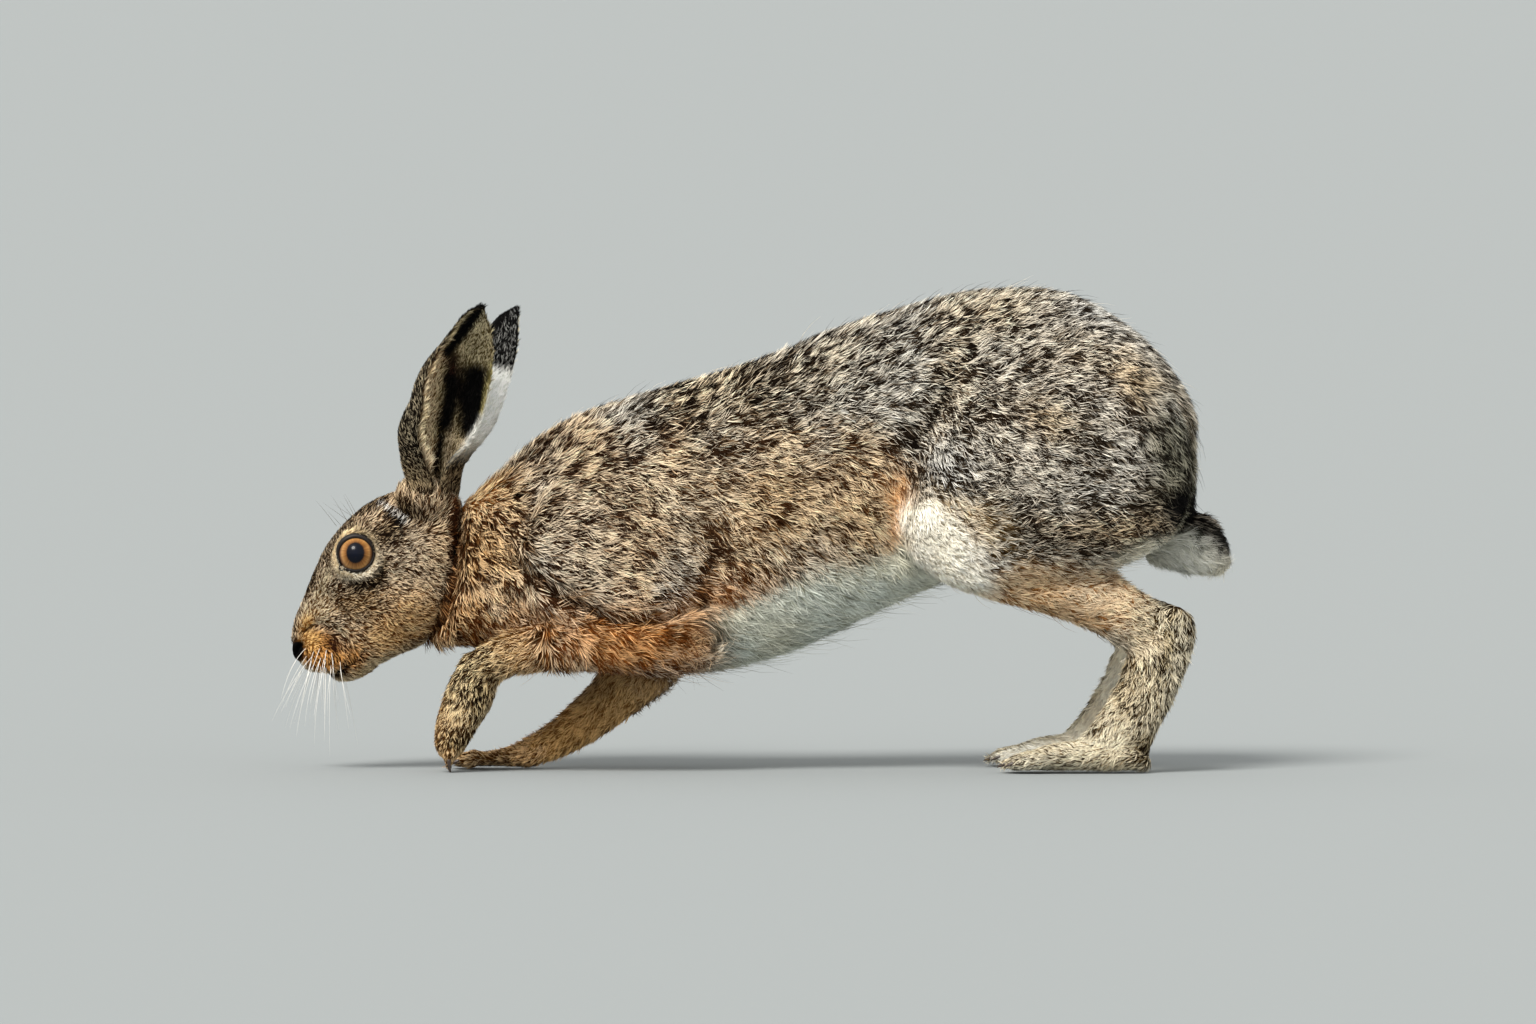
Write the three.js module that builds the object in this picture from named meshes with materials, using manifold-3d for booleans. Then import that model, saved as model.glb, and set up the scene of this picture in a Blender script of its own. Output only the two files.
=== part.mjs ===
// A brown hare caught in mid-step, life size, in millimetres.
// It faces -X with its left side towards -Y, +Z is up, and the soles lie at Z = 0.
// Flesh is lofted through ribs. A rib is one section of the body: the line between two outline points as
// they are seen from the side, a place and a half width across the body, and how far the widest part leans
// to the first point. The outlines are those of the coat.
import * as THREE from "three";
import { LoftGeometry } from "three/addons/geometries/LoftGeometry.js";
import { mergeVertices } from "three/addons/utils/BufferGeometryUtils.js";
import Module from "manifold-3d";

const wasm = await Module();
wasm.setup();

// Driving dimensions
const gap = 0.35; // between pieces that touch
const left = -1; // the side towards -Y
const right = 1;
const rightLegAhead = -6; // the right hind leg stands this much further forward
const eyeRadius = 10;
const eyePlace = new THREE.Vector3(-213.5, 19.6, 115);
const eyeTurn = { ahead: 0.16, up: 0.14 }; // radians away from straight out
const lids = { long: 10.8, high: 9.4, out: 4.1, sink: 1.4, upper: 2.1, lower: 1.6 };
const earWall = { base: 4.2, tip: 1.6 };
const headSquare = 0.68;
const lineDepth = 2.6; // of the mouth line below the lips

// Forms of the face: the place on the right side, the radii and the lean of each
const face = {
  whiskerPad: { at: [-229.5, 7, 62.5], radii: [13, 9, 11.5], lean: 0.4 },
  alarFold: { at: [-243, 4.6, 65], radii: [5.4, 4, 6.6], lean: 0.3 },
  nostril: { at: [-245.4, 7.6, 63.8], radii: [2.3, 2.4, 4], lean: 0.35 },
  lowerLip: { at: [-216, 0, 53.5], radii: [13, 8.8, 6], lean: -0.32 },
};

// Toes: how many, how far the outer ones turn out, are set back and are shorter, then each paw's own set
const toeFan = { count: 4, turn: 0.16, setBack: 0.16, shorter: 0.12 };
const hindToe = { forward: [-1, 0, -0.12], spread: 9.6, length: 15.5, radius: 5, claw: 4.5 };
const foreToe = { forward: [-1, 0, -0.12], spread: 7.4, length: 10.5, radius: 4.3, claw: 3.2 };
const hindToes = { ...hindToe, at: [142, 36, 6.2] };
const standingToes = { ...foreToe, at: [-154, 8, 5] };
const hangingToes = { ...foreToe, at: [-164, 27.5, 14], forward: [-0.05, 0, -1], length: 9.6 };

// Coat colours, 0 to 1
const colours = {
  back: 0x8b7557,
  flank: 0xa98763,
  face: 0x8f7656,
  neck: 0xab7c50,
  limb: 0xb28f63,
  thigh: 0x948169,
  paw: 0xb79a6c,
  tail: 0x4a4743,
  ear: 0x6d6253,
  eye: 0x8a4f1c,
};

// Ribs: x and z of the first outline point, x and z of the second, y, half width, lean
const trunkRibs = [
  [-158, 145, -181, 66, 0, 17, 0],
  [-147, 152, -170, 63, 0, 27, 0],
  [-133, 164, -149, 62, 0, 35, -0.05],
  [-112.5, 181.5, -122, 56, 0, 41, -0.1],
  [-89, 193.5, -90, 50, 0, 45, -0.12],
  [-57.5, 203.5, -56, 49, 0, 47, -0.12],
  [-25.5, 212.5, -21, 51, 0, 47, -0.1],
  [5.5, 222.5, 13, 60, 0, 46, -0.06],
  [37.5, 235.5, 48, 76, 0, 46, 0],
  [69.5, 245.8, 82, 92, 0, 48, 0.04],
  [101, 254.2, 117, 102, 0, 51, 0.06],
  [132, 257.6, 151, 108, 0, 54, 0.06],
  [161, 255, 180, 110, 0, 54, 0.04],
  [186, 242.3, 198, 112, 0, 50, 0.02],
  [207.5, 224.5, 211, 116, 0, 42, 0],
  [224.5, 200.5, 223, 126, 0, 30, 0],
  [232.5, 178, 230.5, 144, 0, 14, 0],
];
const headRibs = [
  [-248.5, 70, -245.5, 57.5, 0, 5.5, 0],
  [-247, 81, -236, 50, 0, 11.5, -0.1],
  [-242, 94, -217, 49, 0, 15, -0.1],
  [-236, 109, -202, 55, 0, 19, -0.08],
  [-229, 122, -190, 61, 0, 24, 0.08],
  [-218, 134, -178, 67, 0, 27.5, 0.1],
  [-206, 143, -170, 79, 0, 28.5, 0.08],
  [-192, 148, -163, 92, 0, 27, 0.05],
  [-178, 149, -161, 106, 0, 24.5, 0],
  [-165, 147, -160, 122, 0, 18, 0],
  [-160, 142, -158, 130, 0, 9, 0],
];
const thighRibs = [
  [156, 240, 190, 232, 26, 10.5, 0],
  [124, 226, 213, 209, 32, 21, 0],
  [97, 196, 228.5, 179.5, 37.5, 29, 0],
  [80, 166, 230, 149.5, 39, 30.5, 0],
  [71, 139, 215, 122, 39, 29, 0],
  [74, 117, 183, 108, 38, 24, 0],
  [90, 102, 148, 98, 37.5, 17, 0],
];
const shankRibs = [
  [84, 112, 90, 132, 37, 12, 0],
  [98, 99, 112, 136, 37, 18, 0],
  [118, 91, 135, 131, 37, 18.5, 0],
  [140, 86, 158, 123, 36.5, 16, 0],
  [160, 80, 179, 112, 36, 13, 0],
  [178, 72, 198, 100, 36, 11, 0],
  [192, 62, 212, 92, 36, 10, 0],
];
const footRibs = [
  [213, 90, 226, 88, 36, 6, 0],
  [203, 83, 231, 83, 36, 9, 0],
  [194, 68, 232.5, 73, 36, 10, 0],
  [190, 56, 229, 59, 36, 10, 0],
  [185, 45, 224, 46, 36, 10.5, 0],
  [178, 33, 218, 33, 36, 11, 0],
  [171, 24, 211, 20, 36, 12, 0],
  [166, 17, 207, 8, 36, 12, 0],
];
const hindPawRibs = [
  [196, 20, 208, 4, 36, 8, 0],
  [188, 21, 204, -2, 36, 11.5, 0],
  [170, 18, 184, -2, 36, 13.5, 0],
  [152, 15.5, 162, -2, 36, 14.5, 0],
  [140, 11, 146, -2, 36, 13, 0],
  [134, 6, 137, 0, 36, 9, 0],
];
const upperArmRibs = [
  [-118, 146, -90, 150, 33, 8, 0],
  [-129, 124, -68, 130, 35, 15, 0],
  [-129, 100, -48, 108, 36, 17, 0],
  [-112, 76, -30, 88, 36, 17.5, 0],
  [-86, 58, -20, 72, 35, 15, 0],
  [-62, 52, -20, 61, 34, 9, 0],
];
const leftForearmRibs = [
  [-40, 80, -34, 58, 35, 9, 0],
  [-64, 86, -62, 53, 35, 14, 0],
  [-90, 84, -88, 54, 34, 14, 0],
  [-114, 81, -112, 52, 32, 12.5, 0],
  [-132, 77, -126, 50, 30, 11.5, 0],
  [-147, 71, -134, 47, 28.5, 10.5, 0],
  [-158, 62, -140, 42, 27.5, 10, 0],
];
const leftForepawRibs = [
  [-157, 66, -136, 54, 27.5, 8.5, 0],
  [-163, 54, -138, 42, 27.5, 10.5, 0],
  [-168, 42, -141, 33, 27.5, 11.5, 0],
  [-172, 30, -146, 26, 27.5, 12, 0],
  [-173.5, 19, -152, 17, 27.5, 11.5, 0],
  [-172, 11, -156, 10, 27.5, 9, 0],
];
const rightForearmRibs = [
  [-78, 78, -38, 66, 30, 9, 0],
  [-80, 66, -44, 46, 28, 13.5, 0],
  [-92, 46, -62, 30, 23, 13, 0],
  [-105, 33, -82, 16, 17, 11.5, 0],
  [-118, 22.5, -101, 6, 12, 10.5, 0],
  [-129, 15.5, -116, 1, 9, 9.5, 0],
];
const rightForepawRibs = [
  [-120, 17, -112, 4, 9, 8, 0],
  [-128, 14.5, -119, -2, 8.5, 10.5, 0],
  [-140, 11, -135, -2, 8, 11.5, 0],
  [-151, 9, -148, -2, 8, 12, 0],
  [-157, 6, -156, 0, 8, 9, 0],
];
const tailRibs = [
  [199, 152, 190, 122, 0, 12, 0],
  [214, 150, 199, 112, 0, 16, 0],
  [228, 145, 211, 106, 0, 18, 0],
  [238, 137, 222, 103, 0, 18.5, 0],
  [244, 129, 232, 102, 0, 16, 0],
  [248, 119, 240, 101, 0, 11, 0],
  [248.5, 112, 245, 104, 0, 5, 0],
];

const range = (count) => Array.from({ length: count }, (_, i) => i);
const mirrored = (ribs, side) => ribs.map(([a, b, c, d, y, ...rest]) => [a, b, c, d, side * y, ...rest]);
const shifted = (ribs, dx) => ribs.map(([a, b, c, d, ...rest]) => [a + dx, b, c + dx, d, ...rest]);

// A smooth closed loft through the ribs. Below 1, square makes its sections boxier.
function loft(ribs, around = 16, ringsPerRib = 2, square = 1) {
  const through = (pick) => new THREE.CatmullRomCurve3(ribs.map(pick), false, "catmullrom", 0.5);
  const first = through(([x, z]) => new THREE.Vector3(x, 0, z));
  const second = through(([, , x, z]) => new THREE.Vector3(x, 0, z));
  const across = through(([, , , , y, half, lean]) => new THREE.Vector3(y, half, lean));
  const rings = (ribs.length - 1) * ringsPerRib;
  const sections = range(rings + 1).map((ring) => {
    const a = first.getPoint(ring / rings);
    const b = second.getPoint(ring / rings);
    const { x: y, y: half, z: lean } = across.getPoint(ring / rings);
    const middle = a.clone().add(b).multiplyScalar(0.5);
    const up = a.clone().sub(middle);
    return range(around).map((step) => {
      const turn = (2 * Math.PI * step) / around;
      const sine = Math.sin(turn);
      const out = half * Math.sign(sine) * Math.abs(sine) ** square * (1 + lean * Math.cos(turn));
      return middle.clone().addScaledVector(up, Math.cos(turn)).setY(y + out);
    });
  });
  return faced(sections);
}

// A capped loft with its faces turned outwards, whichever way its sections wind.
function faced(sections) {
  const half = Math.floor(sections.length / 2);
  const summed = (points) => points.reduce((sum, p) => sum.add(p), new THREE.Vector3());
  const middle = (section) => summed(section).divideScalar(section.length);
  const along = middle(sections[half]).sub(middle(sections[half - 1]));
  const next = (i) => sections[half][(i + 1) % sections[half].length];
  const wound = summed(sections[half].map((p, i) => new THREE.Vector3().crossVectors(p, next(i))));
  const ordered = wound.dot(along) > 0 ? sections : sections.map((section) => [...section].reverse());
  return new LoftGeometry(ordered, { capStart: true, capEnd: true });
}

function merged(geometry) {
  const bare = new THREE.BufferGeometry().copy(geometry);
  bare.deleteAttribute("normal");
  bare.deleteAttribute("uv");
  return mergeVertices(bare, 1e-3);
}

// A manifold solid from closed three.js geometry.
function solid(geometry) {
  const { attributes, index } = merged(geometry);
  const vertProperties = new Float32Array(attributes.position.array);
  const triVerts = new Uint32Array(index.array);
  return new wasm.Manifold(new wasm.Mesh({ numProp: 3, vertProperties, triVerts }));
}

// The same shape swollen by a little, to cut a neighbour clear of it.
function grown(geometry, by = gap) {
  const swollen = merged(geometry);
  swollen.computeVertexNormals();
  const { position, normal } = swollen.attributes;
  range(position.count).forEach((i) => {
    const moved = new THREE.Vector3().fromBufferAttribute(position, i);
    moved.addScaledVector(new THREE.Vector3().fromBufferAttribute(normal, i), by);
    position.setXYZ(i, moved.x, moved.y, moved.z);
  });
  return solid(swollen);
}

const join = (...solids) => solids.reduce((sum, next) => sum.add(next));
const cut = (base, ...tools) => tools.reduce((rest, tool) => rest.subtract(tool), base);

// All that lies beyond a plane through (x, z), where lean tips its normal up from +X, in radians.
function beyond(x, z, lean, step = 0) {
  const reach = 700;
  const block = new THREE.BoxGeometry(reach, reach, reach);
  const place = new THREE.Vector3(x, 0, z);
  place.addScaledVector(new THREE.Vector3(Math.cos(lean), 0, Math.sin(lean)), reach / 2 + step);
  block.rotateY(-lean).translate(place.x, place.y, place.z);
  return solid(block);
}

function ball(place, radii, lean = 0) {
  const shape = new THREE.SphereGeometry(1, 12, 8).scale(...radii).rotateY(lean);
  return shape.translate(place[0], place[1], place[2]);
}

// Eyes: a globe with a raised cornea, turned from +Z to look out, ahead and up.
const outOfZ = new THREE.Vector3(0, 0, 1);

function eyeDirection(side) {
  const ahead = -Math.sin(eyeTurn.ahead);
  return new THREE.Vector3(ahead, side * Math.cos(eyeTurn.ahead), Math.sin(eyeTurn.up)).normalize();
}

function turnedOut(geometry, side) {
  const facing = new THREE.Quaternion().setFromUnitVectors(outOfZ, eyeDirection(side));
  return geometry.applyQuaternion(facing).translate(eyePlace.x, side * eyePlace.y, eyePlace.z);
}

function eyeball(side, extra = 0) {
  const steps = 9;
  const cornea = 0.9;
  const profile = range(steps + 1).map((step) => {
    const angle = Math.PI * (1 - step / steps);
    const bulge = cornea * Math.max(0, Math.cos(angle)) ** 6;
    const radius = eyeRadius + extra + bulge;
    return new THREE.Vector2(step % steps ? radius * Math.sin(angle) : 0, radius * Math.cos(angle));
  });
  return turnedOut(new THREE.LatheGeometry(profile, 16).rotateX(Math.PI / 2), side);
}

// A lid is a tapered roll laid on the globe from the front corner of the eye to the back one.
function lid(side, over) {
  const rings = 10;
  const around = 6;
  const along = (t) => {
    const turn = Math.PI * (1 - t);
    const reach = lids.long * Math.cos(turn);
    const rise = over * lids.high * Math.sin(turn);
    return new THREE.Vector3(reach, rise, lids.out - lids.sink * Math.cos(turn) ** 4);
  };
  const sections = range(rings + 1).map((ring) => {
    const t = ring / rings;
    const centre = along(t);
    const ahead = along(Math.min(1, t + 0.01)).sub(along(Math.max(0, t - 0.01))).normalize();
    const outward = new THREE.Vector3(0, 0, 1).projectOnPlane(ahead).normalize();
    const across = new THREE.Vector3().crossVectors(ahead, outward);
    const thick = (over > 0 ? lids.upper : lids.lower) * (0.45 + 0.55 * Math.sin(Math.PI * t));
    return range(around).map((step) => {
      const turn = (2 * Math.PI * step) / around;
      const point = centre.clone().addScaledVector(outward, thick * Math.cos(turn));
      return point.addScaledVector(across, thick * Math.sin(turn));
    });
  });
  return turnedOut(faced(sections), side);
}

// Ear: a leaf rolled into a tube at its root and open like a trough above.
// Stations run from root to tip: x and z of the midline, half width, how far each side wraps round in
// degrees, and the depth of the trough as a share of its half width.
const earStations = [
  [-177, 146, 13.2, 168, 0.9],
  [-175.7, 154, 12.4, 165, 0.8],
  [-175.8, 165, 15.5, 150, 0.7],
  [-173.1, 178, 20.8, 130, 0.6],
  [-166.8, 190, 22, 116, 0.6],
  [-162, 204, 22.1, 104, 0.6],
  [-156.6, 217, 19.2, 92, 0.6],
  [-153.1, 229, 14.8, 78, 0.6],
  [-150.7, 239, 9.4, 62, 0.7],
  [-147.5, 246.5, 2.4, 48, 0.9],
];
const ears = {
  left: { side: left, y: 14.5, splay: 0.1, open: 0.6, back: 0, from: [0, 0], tall: 1 },
  right: { side: right, y: 14.5, splay: 0.08, open: 0.9, back: 0.125, from: [4.5, 0], tall: 1.022 },
};
const earHinge = new THREE.Vector3(-178, 0, 146);

function earShape({ side, y, splay, open, back, from, tall }) {
  const through = (pick) => new THREE.CatmullRomCurve3(earStations.map(pick), false, "catmullrom", 0.5);
  const midline = through(([x, z]) => new THREE.Vector3(x, 0, z));
  const radians = THREE.MathUtils.degToRad;
  const form = through(([, , half, wrap, depth]) => new THREE.Vector3(half, radians(wrap), depth));
  const rings = 16;
  const steps = 9;
  const sections = range(rings + 1).map((ring) => {
    const t = ring / rings;
    const { x: half, y: wrap, z: depth } = form.getPoint(t);
    const rise = midline.getTangent(t);
    const along = new THREE.Vector3(rise.z, 0, -rise.x).applyAxisAngle(rise, open);
    const outward = new THREE.Vector3(0, -1, 0).applyAxisAngle(rise, open);
    const radius = half / Math.sin(Math.min(wrap, Math.PI / 2));
    const sink = radius * depth * Math.max(0, Math.cos(wrap));
    const middle = midline.getPoint(t).addScaledVector(outward, sink);
    const wall = THREE.MathUtils.lerp(earWall.base, earWall.tip, t ** 0.8);
    const arc = (thin, start, end) =>
      range(steps).map((step) => {
        const angle = THREE.MathUtils.lerp(start, end, step / (steps - 1));
        const taken = thin * (1 - 0.5 * (Math.abs(angle) / wrap) ** 4);
        const reach = Math.max(0.3 * radius, radius - taken);
        const deep = Math.max(0.3 * radius * depth, radius * depth - taken);
        const point = middle.clone().addScaledVector(outward, -deep * Math.cos(angle));
        return point.addScaledVector(along, reach * Math.sin(angle));
      });
    return [...arc(0, -wrap, wrap), ...arc(wall, wrap, -wrap)];
  });
  const placed = (p) => {
    p.sub(earHinge).multiplyScalar(tall).applyAxisAngle(new THREE.Vector3(0, 1, 0), back);
    p.applyAxisAngle(new THREE.Vector3(1, 0, 0), splay);
    p.add(earHinge).add(new THREE.Vector3(from[0], -y, from[1]));
    return p.setY(p.y * -side);
  };
  return faced(sections.map((section) => section.map(placed)));
}

// The stub of an ear on the crown, as heights and radii. It leans back and is narrower across the head.
const stub = { back: 2, lean: 0.12, narrow: 0.84, splay: 0.1 };

function earRoot({ side, y, from }) {
  const flare = [
    [-26, 11],
    [-12, 13],
    [-2, 13],
    [9, 12.6],
  ];
  const around = 16;
  const sections = flare.map(([up, radius]) =>
    range(around).map((step) => {
      const turn = (2 * Math.PI * step) / around;
      const x = earHinge.x + stub.back + from[0] + stub.lean * up + radius * Math.cos(turn);
      const out = y + stub.splay * up + stub.narrow * radius * Math.sin(turn);
      return new THREE.Vector3(x, side * out, earHinge.z + up);
    }),
  );
  return faced(sections);
}

// Toes: tapered lobes with a claw each, fanned across a paw.
function toe(place, direction, length, radius, claw) {
  const facing = new THREE.Quaternion().setFromUnitVectors(outOfZ, direction.clone().normalize());
  const lobe = new THREE.SphereGeometry(1, 7, 5).scale(radius, radius, length);
  lobe.applyQuaternion(facing).translate(place.x, place.y, place.z);
  const nail = new THREE.ConeGeometry(radius * 0.4, claw, 4).rotateX(Math.PI / 2);
  nail.translate(0, 0, length + claw * 0.28).applyQuaternion(facing).translate(place.x, place.y, place.z);
  return [lobe, nail];
}

function toes({ at, forward, spread, length, radius, claw }, side, dx = 0) {
  const across = new THREE.Vector3(0, 1, 0);
  const ahead = new THREE.Vector3(...forward).normalize();
  const middle = new THREE.Vector3(at[0] + dx, side * at[1], at[2]);
  return range(toeFan.count).flatMap((i) => {
    const share = (2 * i) / (toeFan.count - 1) - 1;
    const place = middle.clone().addScaledVector(across, share * spread);
    place.addScaledVector(ahead, -toeFan.setBack * length * share ** 2);
    const fanned = ahead.clone().addScaledVector(across, share * toeFan.turn);
    return toe(place, fanned, length * (1 - toeFan.shorter * share ** 2), radius, claw);
  });
}

const aboveFloor = beyond(0, 0, Math.PI / 2);

// Head
const headLoft = loft(headRibs, 28, 2, headSquare);
const faceForm = ({ at: [x, y, z], radii, lean }, side = right) => ball([x, side * y, z], radii, lean);
const sides = [left, right];
const muzzle = (side) => [faceForm(face.whiskerPad, side), faceForm(face.alarFold, side)];
const lidPair = (side) => [lid(side, 1), lid(side, -1)];
const headBack = [headLoft, earRoot(ears.left), earRoot(ears.right)];
const headFront = [faceForm(face.lowerLip), ...sides.flatMap(muzzle), ...sides.flatMap(lidPair)];

function headSolid() {
  const whole = join(...[...headBack, ...headFront].map(solid));
  return cut(whole, ...sides.map((side) => solid(eyeball(side, gap))), ...faceLines());
}

// The mouth line, the split of the upper lip and the nostrils, cut a little way into the skin.
function faceLines() {
  const mouth = new THREE.Shape();
  mouth.moveTo(-255, 54.6);
  mouth.quadraticCurveTo(-232, 51.6, -222.5, 56).quadraticCurveTo(-216, 60, -211, 66);
  mouth.quadraticCurveTo(-215.5, 57.5, -222.5, 53.6).quadraticCurveTo(-232, 49.4, -255, 52.6);
  const slit = new THREE.ExtrudeGeometry(mouth, { depth: 60, bevelEnabled: false, curveSegments: 5 });
  slit.rotateX(Math.PI / 2).translate(0, 30, 0);
  const thinner = (half) => Math.max(1, half - lineDepth);
  const narrower = headRibs.map(([a, b, c, d, y, half, lean]) => [a, b, c, d, y, thinner(half), lean]);
  const core = join(
    solid(loft(narrower, 20, 2, headSquare)),
    solid(ball([-229, 0, 62.5], [9.5, 16 - lineDepth, 9], 0.4)),
    solid(ball([-216, 0, 53.5], [11, 8.8 - lineDepth, 4.5], -0.32)),
  );
  const split = new THREE.CylinderGeometry(1.2, 0.8, 17, 4).rotateZ(-0.45).translate(-243.5, 0, 56);
  return [cut(solid(slit), core), solid(split), ...sides.map((side) => solid(faceForm(face.nostril, side)))];
}

// Trunk, parted by planes into neck, chest, loin and rump
const trunk = solid(loft(trunkRibs, 26, 2, 0.92));
const neckPlane = [-133, 110, 0.35];
const chestPlane = [-8, 140, 0.12];
const loinPlane = [108, 180, 0.1];

function between(ahead, behind) {
  let part = trunk;
  if (ahead) part = part.intersect(beyond(...ahead, gap / 2));
  if (behind) part = part.subtract(beyond(...behind, -gap / 2));
  return part;
}

// Limbs. Each gives a list of nodes: name, colour, solid, and the shapes that clear its neighbours.
const limb = (ribs, side) => loft(mirrored(ribs, side), 12, 2);
const sideName = (side) => (side === left ? "left" : "right");
const plain = (name, colour, shape) => ({ name, colour, made: solid(shape), keepClear: [grown(shape)] });

function pawNode(name, shape, digits) {
  const made = join(solid(shape), ...digits.map(solid)).intersect(aboveFloor);
  return { name, colour: colours.paw, made, keepClear: [shape, ...digits].map((piece) => grown(piece)) };
}

function hindLeg(side) {
  const dx = side === right ? rightLegAhead : 0;
  const name = `hindleg_${sideName(side)}`;
  return [
    pawNode(`hindpaw_${sideName(side)}`, limb(shifted(hindPawRibs, dx), side), toes(hindToes, side, dx)),
    plain(`${name}_foot`, colours.limb, limb(shifted(footRibs, dx), side)),
    plain(`${name}_shank`, colours.limb, limb(shifted(shankRibs, dx / 2), side)),
    plain(`${name}_thigh`, colours.thigh, limb(thighRibs, side)),
  ];
}

function foreLeg(side, lowerRibs, pawRibs, digits) {
  const name = `foreleg_${sideName(side)}`;
  return [
    pawNode(`forepaw_${sideName(side)}`, limb(pawRibs, side), toes(digits, side)),
    plain(`${name}_lower`, colours.limb, limb(lowerRibs, side)),
    plain(`${name}_upper`, colours.flank, limb(upperArmRibs, side)),
  ];
}

// The nodes in order of rank: each is cut clear of all that come before it.
const earSeat = earHinge.z + 7;
const headNode = {
  name: "head",
  colour: colours.face,
  made: cut(headSolid(), beyond(earHinge.x, earSeat, Math.PI / 2)),
  keepClear: headBack.map((shape) => grown(shape)),
};
const earNode = (side) => ({
  name: `ear_${sideName(side)}`,
  colour: colours.ear,
  made: solid(earShape(ears[sideName(side)])).intersect(beyond(earHinge.x, earSeat, Math.PI / 2, gap)),
  keepClear: [],
});
const eyeNode = (side) => ({
  name: `eye_${sideName(side)}`,
  colour: colours.eye,
  made: solid(eyeball(side)),
  keepClear: [],
});
const trunkNode = (name, colour, made) => ({ name, colour, made, keepClear: [] });
const ranked = [
  earNode(left),
  earNode(right),
  eyeNode(left),
  eyeNode(right),
  headNode,
  ...foreLeg(left, leftForearmRibs, leftForepawRibs, hangingToes),
  ...foreLeg(right, rightForearmRibs, rightForepawRibs, standingToes),
  ...hindLeg(left),
  ...hindLeg(right),
  plain("tail", colours.tail, loft(tailRibs, 14, 2)),
  trunkNode("neck", colours.neck, between(null, neckPlane)),
  trunkNode("chest", colours.flank, between(neckPlane, chestPlane)),
  trunkNode("loin", colours.back, between(chestPlane, loinPlane)),
  trunkNode("rump", colours.back, between(loinPlane, null)),
];

// A node keeps its largest closed surface.
function largest(made) {
  return made.decompose().reduce((best, next) => (next.volume() > best.volume() ? next : best));
}

function carved() {
  const before = [];
  return ranked.map(({ name, colour, made, keepClear }) => {
    const rest = largest(cut(made.intersect(aboveFloor), ...before));
    before.push(...keepClear);
    return [name, colour, rest];
  });
}

function meshOf([name, colour, made]) {
  const { numProp, numVert, vertProperties, triVerts } = made.getMesh();
  const places = new Float32Array(numVert * 3);
  range(numVert).forEach((i) => places.set(vertProperties.subarray(i * numProp, i * numProp + 3), i * 3));
  const geometry = new THREE.BufferGeometry();
  geometry.setAttribute("position", new THREE.BufferAttribute(places, 3));
  geometry.setIndex(new THREE.BufferAttribute(triVerts, 1));
  geometry.computeVertexNormals();
  const roughness = name.startsWith("eye") ? 0.1 : 0.95;
  const coat = new THREE.MeshStandardMaterial({ color: colour, roughness, metalness: 0 });
  const mesh = new THREE.Mesh(geometry, coat);
  mesh.name = name;
  return mesh;
}

const hare = new THREE.Group();
hare.add(...carved().map(meshOf));

// The origin is the middle of the footprint of the whole box, on the floor.
const box = new THREE.Box3().setFromObject(hare);
hare.position.set(-(box.min.x + box.max.x) / 2, -(box.min.y + box.max.y) / 2, 0);

export default hare;
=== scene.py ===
# A brown hare in mid step: skin, coat, ears, eyes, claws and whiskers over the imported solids.
# Places are in millimetres in the hare's own axes: it faces -X, its left side is towards -Y, +Z is up.
import math
import bpy
import numpy as np
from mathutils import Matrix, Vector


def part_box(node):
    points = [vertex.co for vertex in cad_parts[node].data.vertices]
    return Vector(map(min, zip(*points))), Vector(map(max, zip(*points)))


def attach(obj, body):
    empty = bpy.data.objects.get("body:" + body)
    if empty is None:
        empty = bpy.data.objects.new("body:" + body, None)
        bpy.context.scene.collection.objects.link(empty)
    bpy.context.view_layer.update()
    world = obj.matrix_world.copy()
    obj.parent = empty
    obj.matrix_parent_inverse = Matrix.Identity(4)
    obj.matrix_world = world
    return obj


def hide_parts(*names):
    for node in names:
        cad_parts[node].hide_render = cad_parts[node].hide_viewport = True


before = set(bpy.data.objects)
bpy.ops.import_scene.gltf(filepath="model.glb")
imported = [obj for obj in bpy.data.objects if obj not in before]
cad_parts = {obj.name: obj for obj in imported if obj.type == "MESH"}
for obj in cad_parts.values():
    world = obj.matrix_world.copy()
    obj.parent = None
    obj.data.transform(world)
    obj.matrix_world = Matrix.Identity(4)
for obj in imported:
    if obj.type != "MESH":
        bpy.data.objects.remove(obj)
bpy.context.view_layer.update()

left, right = -1, 1

# The eyes, and where the hare's own axes lie in the frame: the left eye's box says how far along X. ahead
# and up are how far each eye is turned from straight out, in radians; cornea is how far it bulges, oval
# how high its disc is.
eye = {"x": -213.5, "y": 19.6, "z": 115, "radius": 10, "ahead": 0.03, "up": 0.13, "cornea": 0.9, "oval": 0.86}
eyeLow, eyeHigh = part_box("eye_left")
shift = np.array([(eyeLow[0] + eyeHigh[0]) / 2 - eye["x"] / 1000, 0, 0])


def inFrame(points):
    # millimetres in the hare's axes to metres in the frame
    return np.asarray(points) / 1000 + shift


# Camera: the photograph's view, level with the flank from the hare's left; width is what it takes in there
view = {"x": 4.2, "z": 136.7, "width": 814, "distance": 9000, "elevation": 2.0, "sensor": 36, "reach": 400}


def makeCamera():
    # focal length = sensor * distance / width
    data = bpy.data.cameras.new("camera")
    data.sensor_width = view["sensor"]
    data.lens = view["sensor"] * view["distance"] / view["width"]
    data.clip_end = view["reach"]
    camera = bpy.data.objects.new("camera", data)
    bpy.context.scene.collection.objects.link(camera)
    tilt = math.radians(view["elevation"])
    away = view["distance"]
    camera.location = inFrame([view["x"], -away * math.cos(tilt), view["z"] + away * math.sin(tilt)])
    camera.rotation_euler = (math.pi / 2 - tilt, 0, 0)
    bpy.context.scene.camera = camera


makeCamera()

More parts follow.
